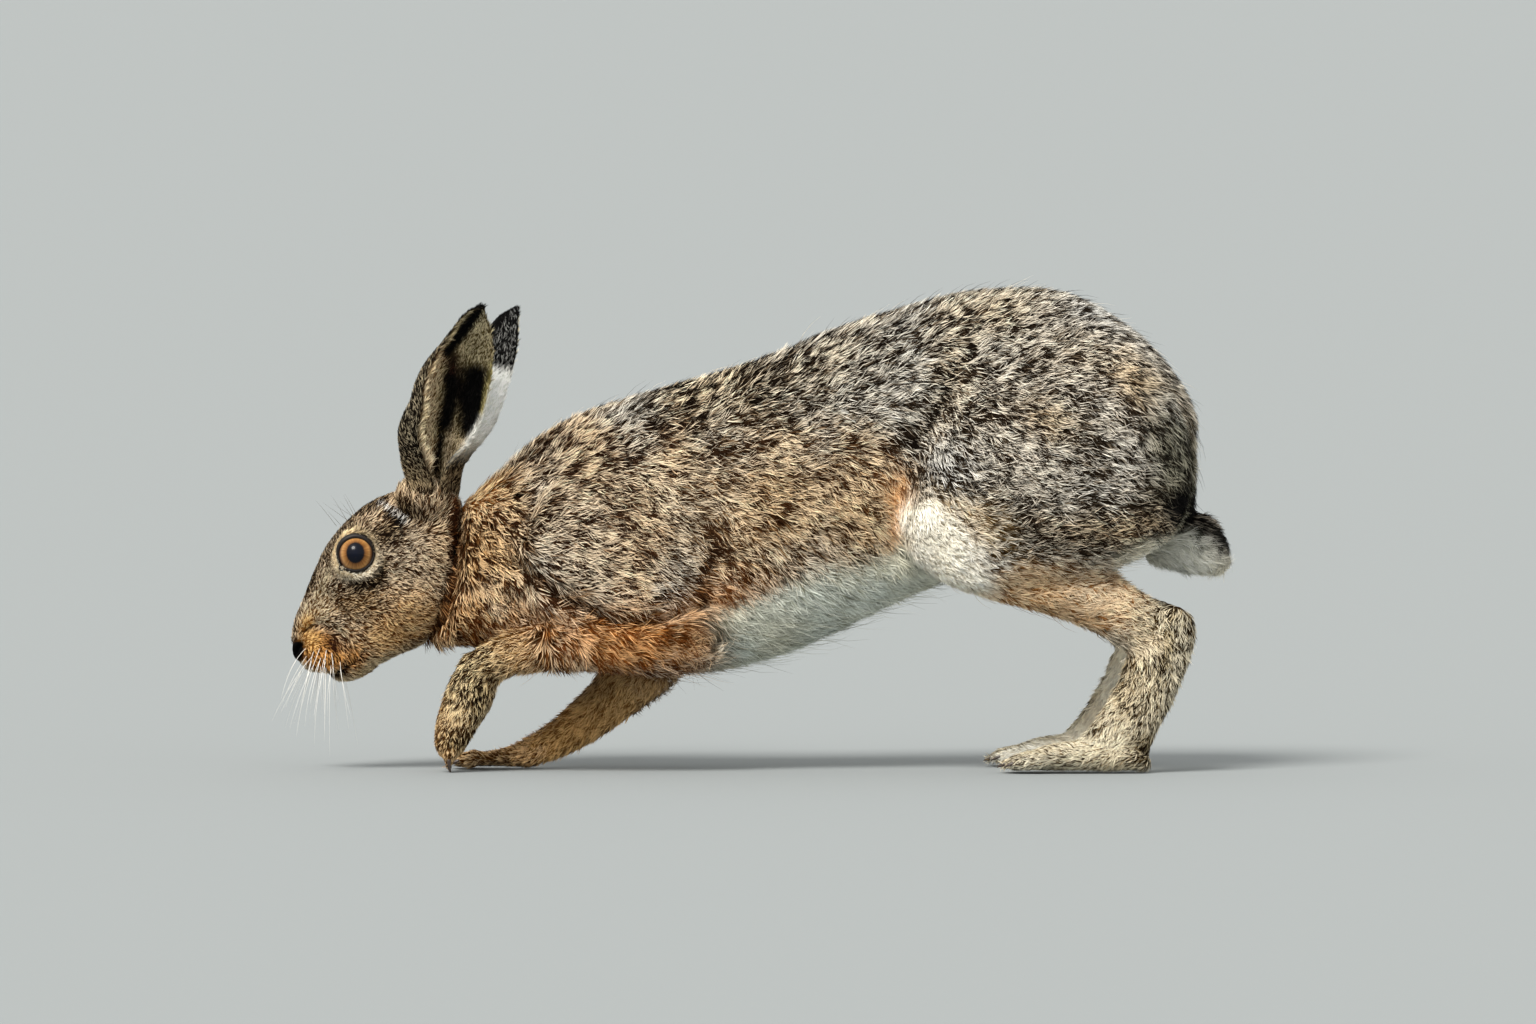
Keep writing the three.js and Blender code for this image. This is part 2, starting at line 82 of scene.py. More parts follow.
# Ribs, one row each: x and z of the outline point on one side, x and z of the other, y, half width, lean
trunkRibs = [
    [-158, 145, -181, 66, 0, 17, 0], [-147, 152, -170, 63, 0, 27, 0], [-133, 164, -149, 62, 0, 35, -0.05],
    [-112.5, 181.5, -122, 56, 0, 41, -0.1], [-89, 193.5, -90, 50, 0, 45, -0.12],
    [-57.5, 203.5, -56, 49, 0, 47, -0.12], [-25.5, 212.5, -21, 51, 0, 47, -0.1],
    [5.5, 222.5, 13, 60, 0, 46, -0.06], [37.5, 235.5, 48, 76, 0, 46, 0],
    [69.5, 245.8, 82, 92, 0, 48, 0.04], [101, 254.2, 117, 102, 0, 51, 0.06],
    [132, 257.6, 151, 108, 0, 54, 0.06], [161, 255, 180, 110, 0, 54, 0.04],
    [186, 242.3, 198, 112, 0, 50, 0.02], [207.5, 224.5, 211, 116, 0, 42, 0],
    [224.5, 200.5, 223, 126, 0, 30, 0], [232.5, 178, 230.5, 144, 0, 14, 0],
]
headRibs = [
    [-248.5, 70, -245.5, 57.5, 0, 5.5, 0], [-247, 81, -236, 50, 0, 11.5, -0.1],
    [-242, 94, -217, 49, 0, 15, -0.1], [-236, 109, -202, 55, 0, 19, -0.08],
    [-229, 122, -190, 61, 0, 24, 0.08], [-218, 134, -178, 67, 0, 27.5, 0.1],
    [-206, 143, -170, 79, 0, 28.5, 0.08], [-192, 148, -163, 92, 0, 27, 0.05],
    [-178, 149, -161, 106, 0, 24.5, 0], [-165, 147, -160, 122, 0, 18, 0], [-160, 142, -158, 130, 0, 9, 0],
]
thighRibs = [
    [156, 240, 190, 232, 26, 10.5, 0], [124, 226, 213, 209, 32, 21, 0],
    [97, 196, 228.5, 179.5, 37.5, 29, 0], [80, 166, 230, 149.5, 39, 30.5, 0],
    [71, 139, 215, 122, 39, 29, 0], [74, 117, 183, 108, 38, 24, 0], [90, 102, 148, 98, 37.5, 17, 0],
]
shankRibs = [
    [84, 112, 90, 132, 37, 12, 0], [98, 99, 112, 136, 37, 18, 0], [118, 91, 135, 131, 37, 18.5, 0],
    [140, 86, 158, 123, 36.5, 16, 0], [160, 80, 179, 112, 36, 13, 0], [178, 72, 198, 100, 36, 11, 0],
    [192, 62, 212, 92, 36, 10, 0],
]
footRibs = [
    [213, 90, 226, 88, 36, 6, 0], [203, 83, 231, 83, 36, 9, 0], [194, 68, 232.5, 73, 36, 10, 0],
    [190, 56, 229, 59, 36, 10, 0], [185, 45, 224, 46, 36, 10.5, 0], [178, 33, 218, 33, 36, 11, 0],
    [171, 24, 211, 20, 36, 12, 0], [166, 17, 207, 8, 36, 12, 0],
]
hindPawRibs = [
    [196, 20, 208, 4, 36, 8, 0], [188, 21, 204, 1, 36, 11.5, 0], [170, 18, 184, 1, 36, 13.5, 0],
    [152, 15.5, 162, 1, 36, 14.5, 0], [140, 11, 146, 1, 36, 13, 0], [134, 6, 137, 1.5, 36, 9, 0],
]
upperArmRibs = [
    [-118, 146, -90, 150, 33, 8, 0], [-129, 124, -68, 130, 35, 15, 0], [-129, 100, -48, 108, 36, 17, 0],
    [-112, 76, -30, 88, 36, 17.5, 0], [-86, 58, -20, 72, 35, 15, 0], [-62, 52, -20, 61, 34, 9, 0],
]
leftForearmRibs = [
    [-40, 80, -34, 58, 35, 9, 0], [-64, 86, -62, 53, 35, 14, 0], [-90, 84, -88, 54, 34, 14, 0],
    [-114, 81, -112, 52, 32, 12.5, 0], [-132, 77, -126, 50, 30, 11.5, 0],
    [-147, 71, -134, 47, 28.5, 10.5, 0], [-158, 62, -140, 42, 27.5, 10, 0],
]
leftForepawRibs = [
    [-157, 66, -136, 54, 27.5, 8.5, 0], [-163, 54, -138, 42, 27.5, 10.5, 0],
    [-168, 42, -141, 33, 27.5, 11.5, 0], [-172, 30, -146, 26, 27.5, 12, 0],
    [-173.5, 19, -152, 17, 27.5, 11.5, 0], [-172, 11, -156, 10, 27.5, 9, 0],
]
rightForearmRibs = [
    [-78, 78, -38, 66, 30, 9, 0], [-80, 66, -44, 46, 28, 13.5, 0], [-92, 46, -62, 30, 23, 13, 0],
    [-105, 33, -82, 16, 17, 11.5, 0], [-118, 22.5, -101, 6, 12, 10.5, 0],
    [-129, 15.5, -116, 1, 9, 9.5, 0],
]
rightForepawRibs = [
    [-120, 17, -112, 4, 9, 8, 0], [-128, 14.5, -119, 1, 8.5, 10.5, 0], [-140, 11, -135, 1, 8, 11.5, 0],
    [-151, 9, -148, 1, 8, 12, 0], [-157, 6, -156, 1.5, 8, 9, 0],
]
tailRibs = [
    [199, 152, 190, 122, 0, 12, 0], [214, 150, 199, 112, 0, 16, 0], [228, 145, 211, 106, 0, 18, 0],
    [238, 137, 222, 103, 0, 18.5, 0], [244, 129, 232, 102, 0, 16, 0], [248, 119, 240, 101, 0, 11, 0],
    [248.5, 112, 245, 104, 0, 5, 0],
]


def sided(ribs, side, ahead=0.0):
    # x + ahead and side * y
    rows = np.array(ribs, float)
    rows[:, [0, 2]] += ahead
    rows[:, 4] *= side
    return rows


# Body parts: ribs, depth of coat over the skin, and the coat's length, width, tufts per square millimetre;
# end is the share of the ribs' length at which the skin stops, where the coat goes on past it
rightLegAhead = -6
limbCoat = {"depth": 3.2, "long": 8.6, "wide": 0.52, "dense": 2.4}
pawCoat = {"depth": 2.2, "long": 6, "wide": 0.48, "dense": 2.9}
bodyCoat = {"depth": 6, "long": 13.5, "wide": 0.62, "dense": 1.62}
thighCoat = {"depth": 5.8, "long": 12.5, "wide": 0.6, "dense": 1.75}
headCoat = {"depth": 2.2, "long": 5.6, "wide": 0.46, "dense": 3.3}
tailCoat = {"depth": 6, "long": 13, "wide": 0.55, "dense": 2.8}
parts = {
    "trunk": {"ribs": sided(trunkRibs, 1), "square": 0.92, "end": 0.955, **bodyCoat},
    "head": {"ribs": sided(headRibs, 1), "square": 0.68, **headCoat},
    "tail": {"ribs": sided(tailRibs, 1), "square": 1, "end": 0.82, **tailCoat},
}
for side, name in ((left, "Left"), (right, "Right")):
    ahead = rightLegAhead if side == right else 0
    forearmRibs = leftForearmRibs if side == left else rightForearmRibs
    forepawRibs = leftForepawRibs if side == left else rightForepawRibs
    for part, ribs, forward, coat in (
        ("thigh", thighRibs, 0, thighCoat),
        ("shank", shankRibs, ahead / 2, limbCoat),
        ("foot", footRibs, ahead, {**limbCoat, "depth": 3}),
        ("hindpaw", hindPawRibs, ahead, pawCoat),
        ("arm", upperArmRibs, 0, {**bodyCoat, "depth": 5.4}),
        ("forearm", forearmRibs, 0, limbCoat),
        ("forepaw", forepawRibs, 0, pawCoat),
    ):
        parts[part + name] = {"ribs": sided(ribs, side, forward), "square": 1, **coat}


def curveThrough(rows, t):
    # Catmull-Rom: a cubic between neighbouring rows whose slope at each row is half the step across it
    rows = np.asarray(rows, float)
    last = len(rows) - 1
    at = np.clip(t, 0, 1) * last
    i = np.minimum(at.astype(int), last - 1)
    f = (at - i)[:, None]
    a, b = rows[i], rows[i + 1]
    before = np.where((i > 0)[:, None], rows[i - 1], 2 * a - b)
    after = np.where((i + 2 <= last)[:, None], rows[np.minimum(i + 2, last)], 2 * b - a)
    slopeA, slopeB = (b - before) / 2, (after - a) / 2
    bend = 3 * (b - a) - 2 * slopeA - slopeB
    twist = 2 * (a - b) + slopeA + slopeB
    return a + slopeA * f + bend * f**2 + twist * f**3


def sectionsOf(part, shares):
    # middle = (first + second) / 2 and half height = (first - second) / 2 of the ribs' two points, half
    # width, lean
    rows = curveThrough(part["ribs"], shares)
    first = np.stack([rows[:, 0], rows[:, 4], rows[:, 1]], 1)
    second = np.stack([rows[:, 2], rows[:, 4], rows[:, 3]], 1)
    return (first + second) / 2, (first - second) / 2, rows[:, 5], rows[:, 6]


def loftGrid(part, rings, around):
    # middle + cos(turn) * half height + sin(turn) ** square * half width across * (1 + lean * cos(turn)),
    # both halves less the coat's depth
    thinnest = 0.5
    centre, up, half, lean = sectionsOf(part, np.linspace(0, part.get("end", 1), rings))
    high = np.linalg.norm(up, axis=1, keepdims=True)
    up = up / high * np.maximum(high - part["depth"], thinnest)
    half = np.maximum(half - part["depth"], thinnest)
    turn = np.linspace(0, 2 * np.pi, around, endpoint=False)
    sine = np.sign(np.sin(turn)) * np.abs(np.sin(turn)) ** part["square"]
    out = half[:, None] * sine[None] * (1 + lean[:, None] * np.cos(turn)[None])
    grid = centre[:, None] + up[:, None] * np.cos(turn)[None, :, None]
    grid[..., 1] += out
    return grid


def gridFaces(rows, columns, ring=False):
    # quads of a grid that closes on itself along its columns, and in a ring along its rows too
    i = np.arange(rows if ring else rows - 1)[:, None]
    j = np.arange(columns)[None]
    h, k = (i + 1) % rows, (j + 1) % columns
    quads = np.stack([i * columns + j, h * columns + j, h * columns + k, i * columns + k], -1)
    return quads.reshape(-1, 4)


def closedGrid(grid):
    # a tube of quads with a point added at each end and fanned to it, as triangles
    rows, columns = grid.shape[:2]
    points = np.concatenate([grid.reshape(-1, 3), grid[0].mean(0)[None], grid[-1].mean(0)[None]])
    quads = gridFaces(rows, columns)
    j = np.arange(columns)
    k = (j + 1) % columns
    start = rows * columns
    base = start - columns
    first = np.stack([np.full(columns, start), j, k], 1)
    last = np.stack([np.full(columns, start + 1), base + k, base + j], 1)
    return points, np.concatenate([quads[:, [0, 1, 2]], quads[:, [0, 2, 3]], first, last])


def ellipsoid(place, radii, lean=0.0, around=40, rings=24):
    # a sphere stretched along its own axes, then turned about Y by the lean
    theta = np.linspace(0, np.pi, rings)[1:-1, None]
    phi = np.linspace(0, 2 * np.pi, around, endpoint=False)[None]
    ball = np.stack([np.sin(theta) * np.cos(phi), np.sin(theta) * np.sin(phi), np.cos(theta) + 0 * phi], -1)
    points = ball * np.array(radii)
    turned = points.copy()
    turned[..., 0] = points[..., 0] * math.cos(lean) + points[..., 2] * math.sin(lean)
    turned[..., 2] = points[..., 2] * math.cos(lean) - points[..., 0] * math.sin(lean)
    return closedGrid(turned + np.array(place, float))


def joined(shells):
    # many closed shells as one list of points and one of faces
    starts = np.cumsum([0] + [len(points) for points, _ in shells[:-1]])
    return (
        np.concatenate([points for points, _ in shells]),
        np.concatenate([faces + start for (_, faces), start in zip(shells, starts)]),
    )


def facedOut(points, faces):
    # the faces, turned round where the volume comes out negative: the sum of
    # (a - middle) . ((b - a) x (c - a))
    a, b, c = (points[faces[:, k]] for k in (0, 1, -1))
    volume = ((a - points.mean(0)) * np.cross(b - a, c - a)).sum()
    return faces if volume > 0 else faces[:, ::-1]


def makeMesh(name, points, faces):
    # points in metres and faces of one size, put into a mesh in bulk
    mesh = bpy.data.meshes.new(name)
    faces = np.asarray(faces, np.int32)
    mesh.vertices.add(len(points))
    mesh.vertices.foreach_set("co", np.asarray(points, np.float32).ravel())
    mesh.loops.add(faces.size)
    mesh.loops.foreach_set("vertex_index", faces.ravel())
    mesh.polygons.add(len(faces))
    mesh.polygons.foreach_set("loop_start", np.arange(len(faces), dtype=np.int32) * faces.shape[1])
    mesh.polygons.foreach_set("use_smooth", np.ones(len(faces), bool))
    mesh.update(calc_edges=True)
    return mesh


def makePiece(name, points, faces, material, slot, replaced=()):
    # points in the hare's millimetres
    piece = bpy.data.objects.new(name, makeMesh(name, inFrame(points), faces))
    bpy.context.scene.collection.objects.link(piece)
    piece.data.materials.append(material)
    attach(piece, "root")
    if replaced:
        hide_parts(*replaced)
    return piece


def voxelSkin(shells, voxel):
    # one closed skin over overlapping shells, from a remesh at the voxel size in millimetres
    points, faces = joined(shells)
    rough = bpy.data.objects.new("rough", makeMesh("rough", points, faces))
    bpy.context.scene.collection.objects.link(rough)
    remesh = rough.modifiers.new("remesh", "REMESH")
    remesh.mode = "VOXEL"
    remesh.voxel_size = voxel
    made = bpy.data.meshes.new_from_object(rough.evaluated_get(bpy.context.evaluated_depsgraph_get()))
    made.calc_loop_triangles()
    skinPoints = np.empty(len(made.vertices) * 3, np.float32)
    made.vertices.foreach_get("co", skinPoints)
    triangles = np.empty(len(made.loop_triangles) * 3, np.int32)
    made.loop_triangles.foreach_get("vertices", triangles)
    edges = np.empty(len(made.edges) * 2, np.int32)
    made.edges.foreach_get("vertices", edges)
    bpy.data.objects.remove(rough)
    bpy.data.meshes.remove(made)
    return skinPoints.reshape(-1, 3).astype(float), triangles.reshape(-1, 3), edges.reshape(-1, 2)


def relaxed(points, edges, passes, amount):
    # each pass moves every point part of the way to the mean of its neighbours
    count = np.bincount(edges.ravel(), minlength=len(points))[:, None]
    ends = np.concatenate([edges, edges[:, ::-1]])
    for _ in range(passes):
        sums = [np.bincount(ends[:, 0], column[ends[:, 1]], len(points)) for column in points.T]
        points = points + amount * (np.stack(sums, 1) / count - points)
    return points


def unit(vectors):
    # vector / its length
    return vectors / np.maximum(np.linalg.norm(vectors, axis=-1, keepdims=True), 1e-9)


def normalsOf(points, faces):
    # area-weighted mean of the faces round each point
    a, b, c = (points[faces[:, k]] for k in range(3))
    cross = np.cross(b - a, c - a)
    sums = [sum(np.bincount(faces[:, k], cross[:, axis], len(points)) for k in range(3)) for axis in range(3)]
    return unit(np.stack(sums, 1))


def smooth(low, high, value):
    # 0 at low, 1 at high, an S curve between
    t = np.clip((value - low) / (high - low), 0, 1)
    return t * t * (3 - 2 * t)


def hashed(cells, seed):
    # three repeatable numbers from 0 to 1 for each whole-number cell, from the fraction of a scaled sine
    steps = np.array([[127.1, 311.7, 74.7], [269.5, 183.3, 246.1], [113.5, 271.9, 124.6]])
    return np.modf(np.abs(np.sin(cells @ steps.T + seed * 17.3) * 43758.5453))[0]


def cloud(points, size, seed):
    # soft noise from -1 to 1: hashed values at the corners of a lattice, blended between them
    at = points / size
    low = np.floor(at)
    f = at - low
    f = f * f * (3 - 2 * f)
    total = np.zeros(len(points))
    for corner in range(8):
        offset = np.array([corner & 1, corner >> 1 & 1, corner >> 2 & 1])
        weight = np.prod(np.where(offset, f, 1 - f), axis=1)
        total += weight * hashed(low + offset, seed)[:, 0]
    return total * 2 - 1


def nearestLeader(points, size, seed):
    # one leader is drawn in each cell of a lattice; the nearest of those in the 27 cells around is returned
    cell = np.floor(points / size)
    best = np.full(len(points), np.inf)
    leader = np.zeros_like(points)
    luck = np.zeros_like(points)
    for step in range(27):
        other = cell + np.array([step % 3, step // 3 % 3, step // 9]) - 1
        place = (other + hashed(other, seed)) * size
        distance = ((place - points) ** 2).sum(1)
        closer = distance < best
        best[closer] = distance[closer]
        leader[closer] = place[closer]
        luck[closer] = hashed(other[closer] + 0.5, seed + 1)
    return leader, luck


def fromPath(points, path):
    # distance in the x-z plane from each point to the nearest stretch of a path
    best = np.full(len(points), np.inf)
    flat = points[:, [0, 2]]
    path = np.array(path, float)
    for start, end in zip(path[:-1], path[1:]):
        step = end - start
        share = np.clip((flat - start) @ step / (step @ step), 0, 1)
        best = np.minimum(best, np.linalg.norm(flat - start - share[:, None] * step, axis=1))
    return best


# Skin of body and limbs: one surface over all their shells, then folds and swells along paths in x and z
fineness = {
    "body": 2.2, "head": 0.9, "bodyPasses": 7, "headPasses": 4, "relax": 0.6, "pawRelax": 0.5, "sole": 0.6,
    "pawTop": 26, "pawFull": 14,
}
toeFan = {"count": 4, "setBack": 0.16, "shorter": 0.12}
flatForward = (-0.993, 0, -0.12)
hindToes = {"forward": flatForward, "spread": 9.6, "long": 14, "thick": 4}
toeSets = {
    "hindpawLeft": {"at": (142, -36, 6.4), **hindToes},
    "hindpawRight": {"at": (136, 36, 6.4), **hindToes},
    "forepawLeft": {
        "at": (-164, -27.5, 13), "forward": (-0.05, 0, -1), "spread": 7.2, "long": 10, "thick": 3.6,
    },
    "forepawRight": {"at": (-154, 8, 5.2), "forward": flatForward, "spread": 7.4, "long": 9.4, "thick": 3.5},
}
bodyFolds = [
    {
        "path": [(-128, 112), (-114, 99), (-100, 91), (-81, 82), (-58, 80), (-34, 88)],
        "wide": 4.5, "push": -5.5,
    },
    {"path": [(-112, 78), (-84, 66), (-56, 62)], "wide": 12, "push": 1.5},
    {"path": [(-136, 138), (-104, 112), (-72, 100)], "wide": 20, "push": 2.5},
    {"path": [(-44, 186), (-28, 146), (-24, 108)], "wide": 15, "push": -3},
    {"path": [(114, 232), (101, 210), (82, 178), (68, 150), (66, 118)], "wide": 9, "push": -2.6},
    {"path": [(-159, 146), (-160, 118), (-162, 98), (-168, 80), (-180, 70)], "wide": 3.6, "push": -5},
    {"path": [(120, 96), (160, 102), (196, 108)], "wide": 5, "push": -2},
    {"path": [(20, 200), (60, 176)], "wide": 14, "push": -1.5},
]
headFolds = [
    {"path": [(-218, 98), (-205, 96), (-192, 104)], "wide": 4, "push": -1.2},
    {
        "path": [(-242, 74), (-236, 77), (-228, 76.5), (-221, 72), (-216.5, 64), (-216, 58)],
        "wide": 2.2, "push": -1.9,
    },
    {"path": [(-230, 92), (-224, 84), (-214, 78)], "wide": 3, "push": -0.9},
    {"path": [(-229, 124), (-219, 131), (-206, 130)], "wide": 3.5, "push": 1.3},
    {"path": [(-200, 84), (-188, 80), (-178, 84)], "wide": 5, "push": -0.9},
]


def toeShells(toes):
    # lobes fanned across a paw: place = at + share * spread across - share ** 2 * set back along forward
    shells = []
    forward, long, thick = np.array(toes["forward"]), toes["long"], toes["thick"]
    lean = math.atan2(-forward[2], forward[0])
    for share in np.linspace(-1, 1, toeFan["count"]):
        place = np.array(toes["at"], float) + np.array([0, share * toes["spread"], 0])
        place = place - forward * toeFan["setBack"] * long * share**2
        reach = long * (1 - toeFan["shorter"] * share**2)
        shells.append(ellipsoid(place, [reach, thick, thick], lean, 20, 14))
    return shells


def folded(points, faces, folds):
    # each fold moves points along their normals by push * exp(-(distance / wide) ** 2), only on the flanks
    normals = normalsOf(points, faces)
    flank = smooth(0.2, 0.6, np.abs(normals[:, 1]))
    moved = np.zeros(len(points))
    for fold in folds:
        moved = moved + fold["push"] * np.exp(-((fromPath(points, fold["path"]) / fold["wide"]) ** 2))
    return points + normals * (moved * flank)[:, None]


def bodySkin():
    # the joined shells are relaxed, the paws only a little so that the toes stay, then folded and set on
    # the floor
    shells = [closedGrid(loftGrid(part, 60, 40)) for name, part in parts.items() if name != "head"]
    for toes in toeSets.values():
        shells += toeShells(toes)
    points, triangles, edges = voxelSkin(shells, fineness["body"])
    paws = smooth(fineness["pawTop"], fineness["pawFull"], points[:, 2])[:, None]
    soft = relaxed(points, edges, fineness["bodyPasses"], fineness["relax"])
    points = soft * (1 - paws) + relaxed(points, edges, 1, fineness["pawRelax"]) * paws
    points = folded(points, triangles, bodyFolds)
    points[:, 2] = np.maximum(points[:, 2], fineness["sole"])
    return points, triangles


# Lumps of the head: place, radii and lean of each, the paired ones on both sides
headLumps = {
    "whiskerPad": {"at": (-230, 7.2, 62.3), "radii": (12, 8.2, 11), "lean": 0.4},
    "alarFold": {"at": (-243, 4.5, 65), "radii": (5, 3.9, 6.2), "lean": 0.3},
    "noseTip": {"at": (-243, 1, 63.5), "radii": (4.9, 4.4, 6.2), "lean": 0.2},
    "cheek": {"at": (-190, 13.5, 94), "radii": (20, 12, 20), "lean": 0.5},
    "browRidge": {"at": (-212, 17, 123.5), "radii": (13, 6.6, 4.6), "lean": -0.75},
    "earRoot": {"at": (-179.5, 14.6, 141), "radii": (13.4, 11.6, 14.5), "lean": 0},
}
lowerLip = {"at": (-215.5, 0, 54), "radii": (12, 7.5, 5), "lean": -0.32}
mouthPath = [(-246, 53), (-238, 51.5), (-230, 51.2), (-222.5, 54.5), (-216, 59), (-211.5, 64.5)]
nostrilPath = [(-246.2, 61.5), (-245.4, 64.4), (-243.4, 66.6)]
nosePath = [(-245.6, 61.2), (-244.9, 65.3)]
# How deep the mouth line, the lip's split and the nostrils are pressed in, and where each fades from 0 to 1
carving = {
    "mouth": 1.5, "mouthEdge": (1.9, 0.2), "split": 1.6, "splitEdge": (1.6, 0.1), "splitFront": (-236, -241),
    "splitTop": (66, 62), "splitFoot": (48, 52), "nostril": 2.6, "nostrilEdge": (1.9, 0.4),
    "nostrilAside": (2.2, 3.8),
}
# Round each eye, as distances from its axis: the opening in the skin, the brim that rises to it and the
# lid's ring
socket = {
    "opening": 9.2, "rim": 10.4, "brim": 3.4, "brimNear": 10.6, "brimFar": 13.6, "front": -4, "floor": 1.0,
    "ring": 12.6, "ringWide": 1.7, "ringHigh": 0.8,
}


def eyeDirection(side):
    # straight out, turned ahead and up
    return unit(np.array([-math.sin(eye["ahead"]), side * math.cos(eye["ahead"]), math.sin(eye["up"])]))


def eyeMiddle(side):
    # in the hare's axes
    return np.array([eye["x"], side * eye["y"], eye["z"]])


def aboutEye(points, side):
    # the eye's axis, how far each point lies along it, and how far away from it
    axis = eyeDirection(side)
    offset = points - eyeMiddle(side)
    depth = offset @ axis
    return axis, depth, np.linalg.norm(offset - depth[:, None] * axis, axis=1)


def carvedFace(points, normals):
    # the mouth line, the split of the upper lip and the nostrils are pressed in; the skin opens round
    # each eye
    x, y, z = points.T
    aside = np.abs(y)
    mouth = smooth(*carving["mouthEdge"], fromPath(points, mouthPath)) * carving["mouth"]
    split = smooth(*carving["splitEdge"], aside) * smooth(*carving["splitFront"], x)
    split = split * smooth(*carving["splitTop"], z) * smooth(*carving["splitFoot"], z) * carving["split"]
    nostril = smooth(*carving["nostrilEdge"], fromPath(points, nostrilPath))
    nostril = nostril * smooth(*carving["nostrilAside"], aside) * carving["nostril"]
    points = points - normals * np.maximum(np.maximum(mouth, split), nostril)[:, None]
    for side in (left, right):
        axis, depth, away = aboutEye(points, side)
        outer = depth > socket["front"]
        lift = np.maximum(socket["brim"] - depth, 0) * smooth(socket["brimFar"], socket["brimNear"], away)
        raised = depth + lift * outer
        here = smooth(socket["rim"], socket["opening"], away) * outer
        sunk = raised + (np.minimum(raised, socket["floor"]) - raised) * here
        points = points + axis * (sunk - depth)[:, None]
        ring = np.exp(-(((away - socket["ring"]) / socket["ringWide"]) ** 2)) * outer * (here < 0.5)
        points = points + axis * (ring * socket["ringHigh"])[:, None]
    return points


def headSkin():
    # the head's loft and its lumps, relaxed, folded and carved
    shells = [closedGrid(loftGrid(parts["head"], 90, 64))]
    for lump in headLumps.values():
        x, y, z = lump["at"]
        shells += [ellipsoid((x, side * y, z), lump["radii"], lump["lean"]) for side in (left, right)]
    shells.append(ellipsoid(lowerLip["at"], lowerLip["radii"], lowerLip["lean"]))
    points, triangles, edges = voxelSkin(shells, fineness["head"])
    points = relaxed(points, edges, fineness["headPasses"], fineness["relax"])
    points = folded(points, triangles, headFolds)
    return carvedFace(points, normalsOf(points, triangles)), triangles


bodyPoints, bodyFaces = bodySkin()
headPoints, headFaces = headSkin()
print("skin of body and head:", len(bodyFaces), "and", len(headFaces), "triangles")


# How each point of skin belongs to the parts, where it lies along and around them
stations = {"trunk": 14, "other": 9, "least": 3.5, "reach": 1.4, "sharp": 11}


def stationsOf(part, count):
    # sections at even steps, with their direction and spacing, none smaller than the least
    centre, up, half, lean = sectionsOf(part, np.linspace(0, 1, count))
    high = np.maximum(np.linalg.norm(up, axis=1) - part["depth"], stations["least"])
    half = np.maximum(half - part["depth"], stations["least"])
    along = unit(np.gradient(centre, axis=0))
    spacing = np.linalg.norm(np.diff(centre, axis=0), axis=1).mean()
    return centre, unit(up), high, half, along, spacing


def belonging(points, names):
    # for each part the distance to its nearest section, sqrt(rise ** 2 + out ** 2 + on ** 2), 1 on its
    # outline; weights exp(-sharp * distance) favour the nearest part; place is around and along the part,
    # as shares of 1
    found = {}
    for name in names:
        part = parts[name]
        count = stations["trunk" if name == "trunk" else "other"]
        centre, up, high, half, along, spacing = stationsOf(part, count)
        best = np.full(len(points), np.inf)
        lie = np.zeros_like(points)
        place = np.zeros((len(points), 2))
        for i in range(count):
            q = points - centre[i]
            rise, out = q @ up[i] / high[i], q[:, 1] / half[i]
            on = q @ along[i] / (stations["reach"] * spacing)
            distance = rise**2 + out**2 + on**2
            closer = distance < best
            best[closer] = distance[closer]
            lie[closer] = along[i]
            share = (i + np.clip(on[closer] * stations["reach"], -0.5, 0.5)) / (count - 1)
            place[closer, 0] = np.arctan2(out[closer], rise[closer]) / (2 * np.pi) + 0.5
            place[closer, 1] = np.clip(share, 0, 1)
        found[name] = {"distance": np.sqrt(best), "lie": lie, "place": place}
    nearest = np.min([one["distance"] for one in found.values()], axis=0)
    sharp = stations["sharp"]
    weights = {name: np.exp(-sharp * (one["distance"] - nearest)) for name, one in found.items()}
    total = sum(weights.values())
    return found, {name: weight / total for name, weight in weights.items()}


# Coats: the bright band of a hair, its dark band and its root as red, green and blue, and the share of
# hairs that show the bright band
def tone(red, green, blue):
    # screen colour out of 255 to linear light
    value = np.array([red, green, blue]) / 255
    return np.where(value <= 0.04045, value / 12.92, ((value + 0.055) / 1.055) ** 2.4)


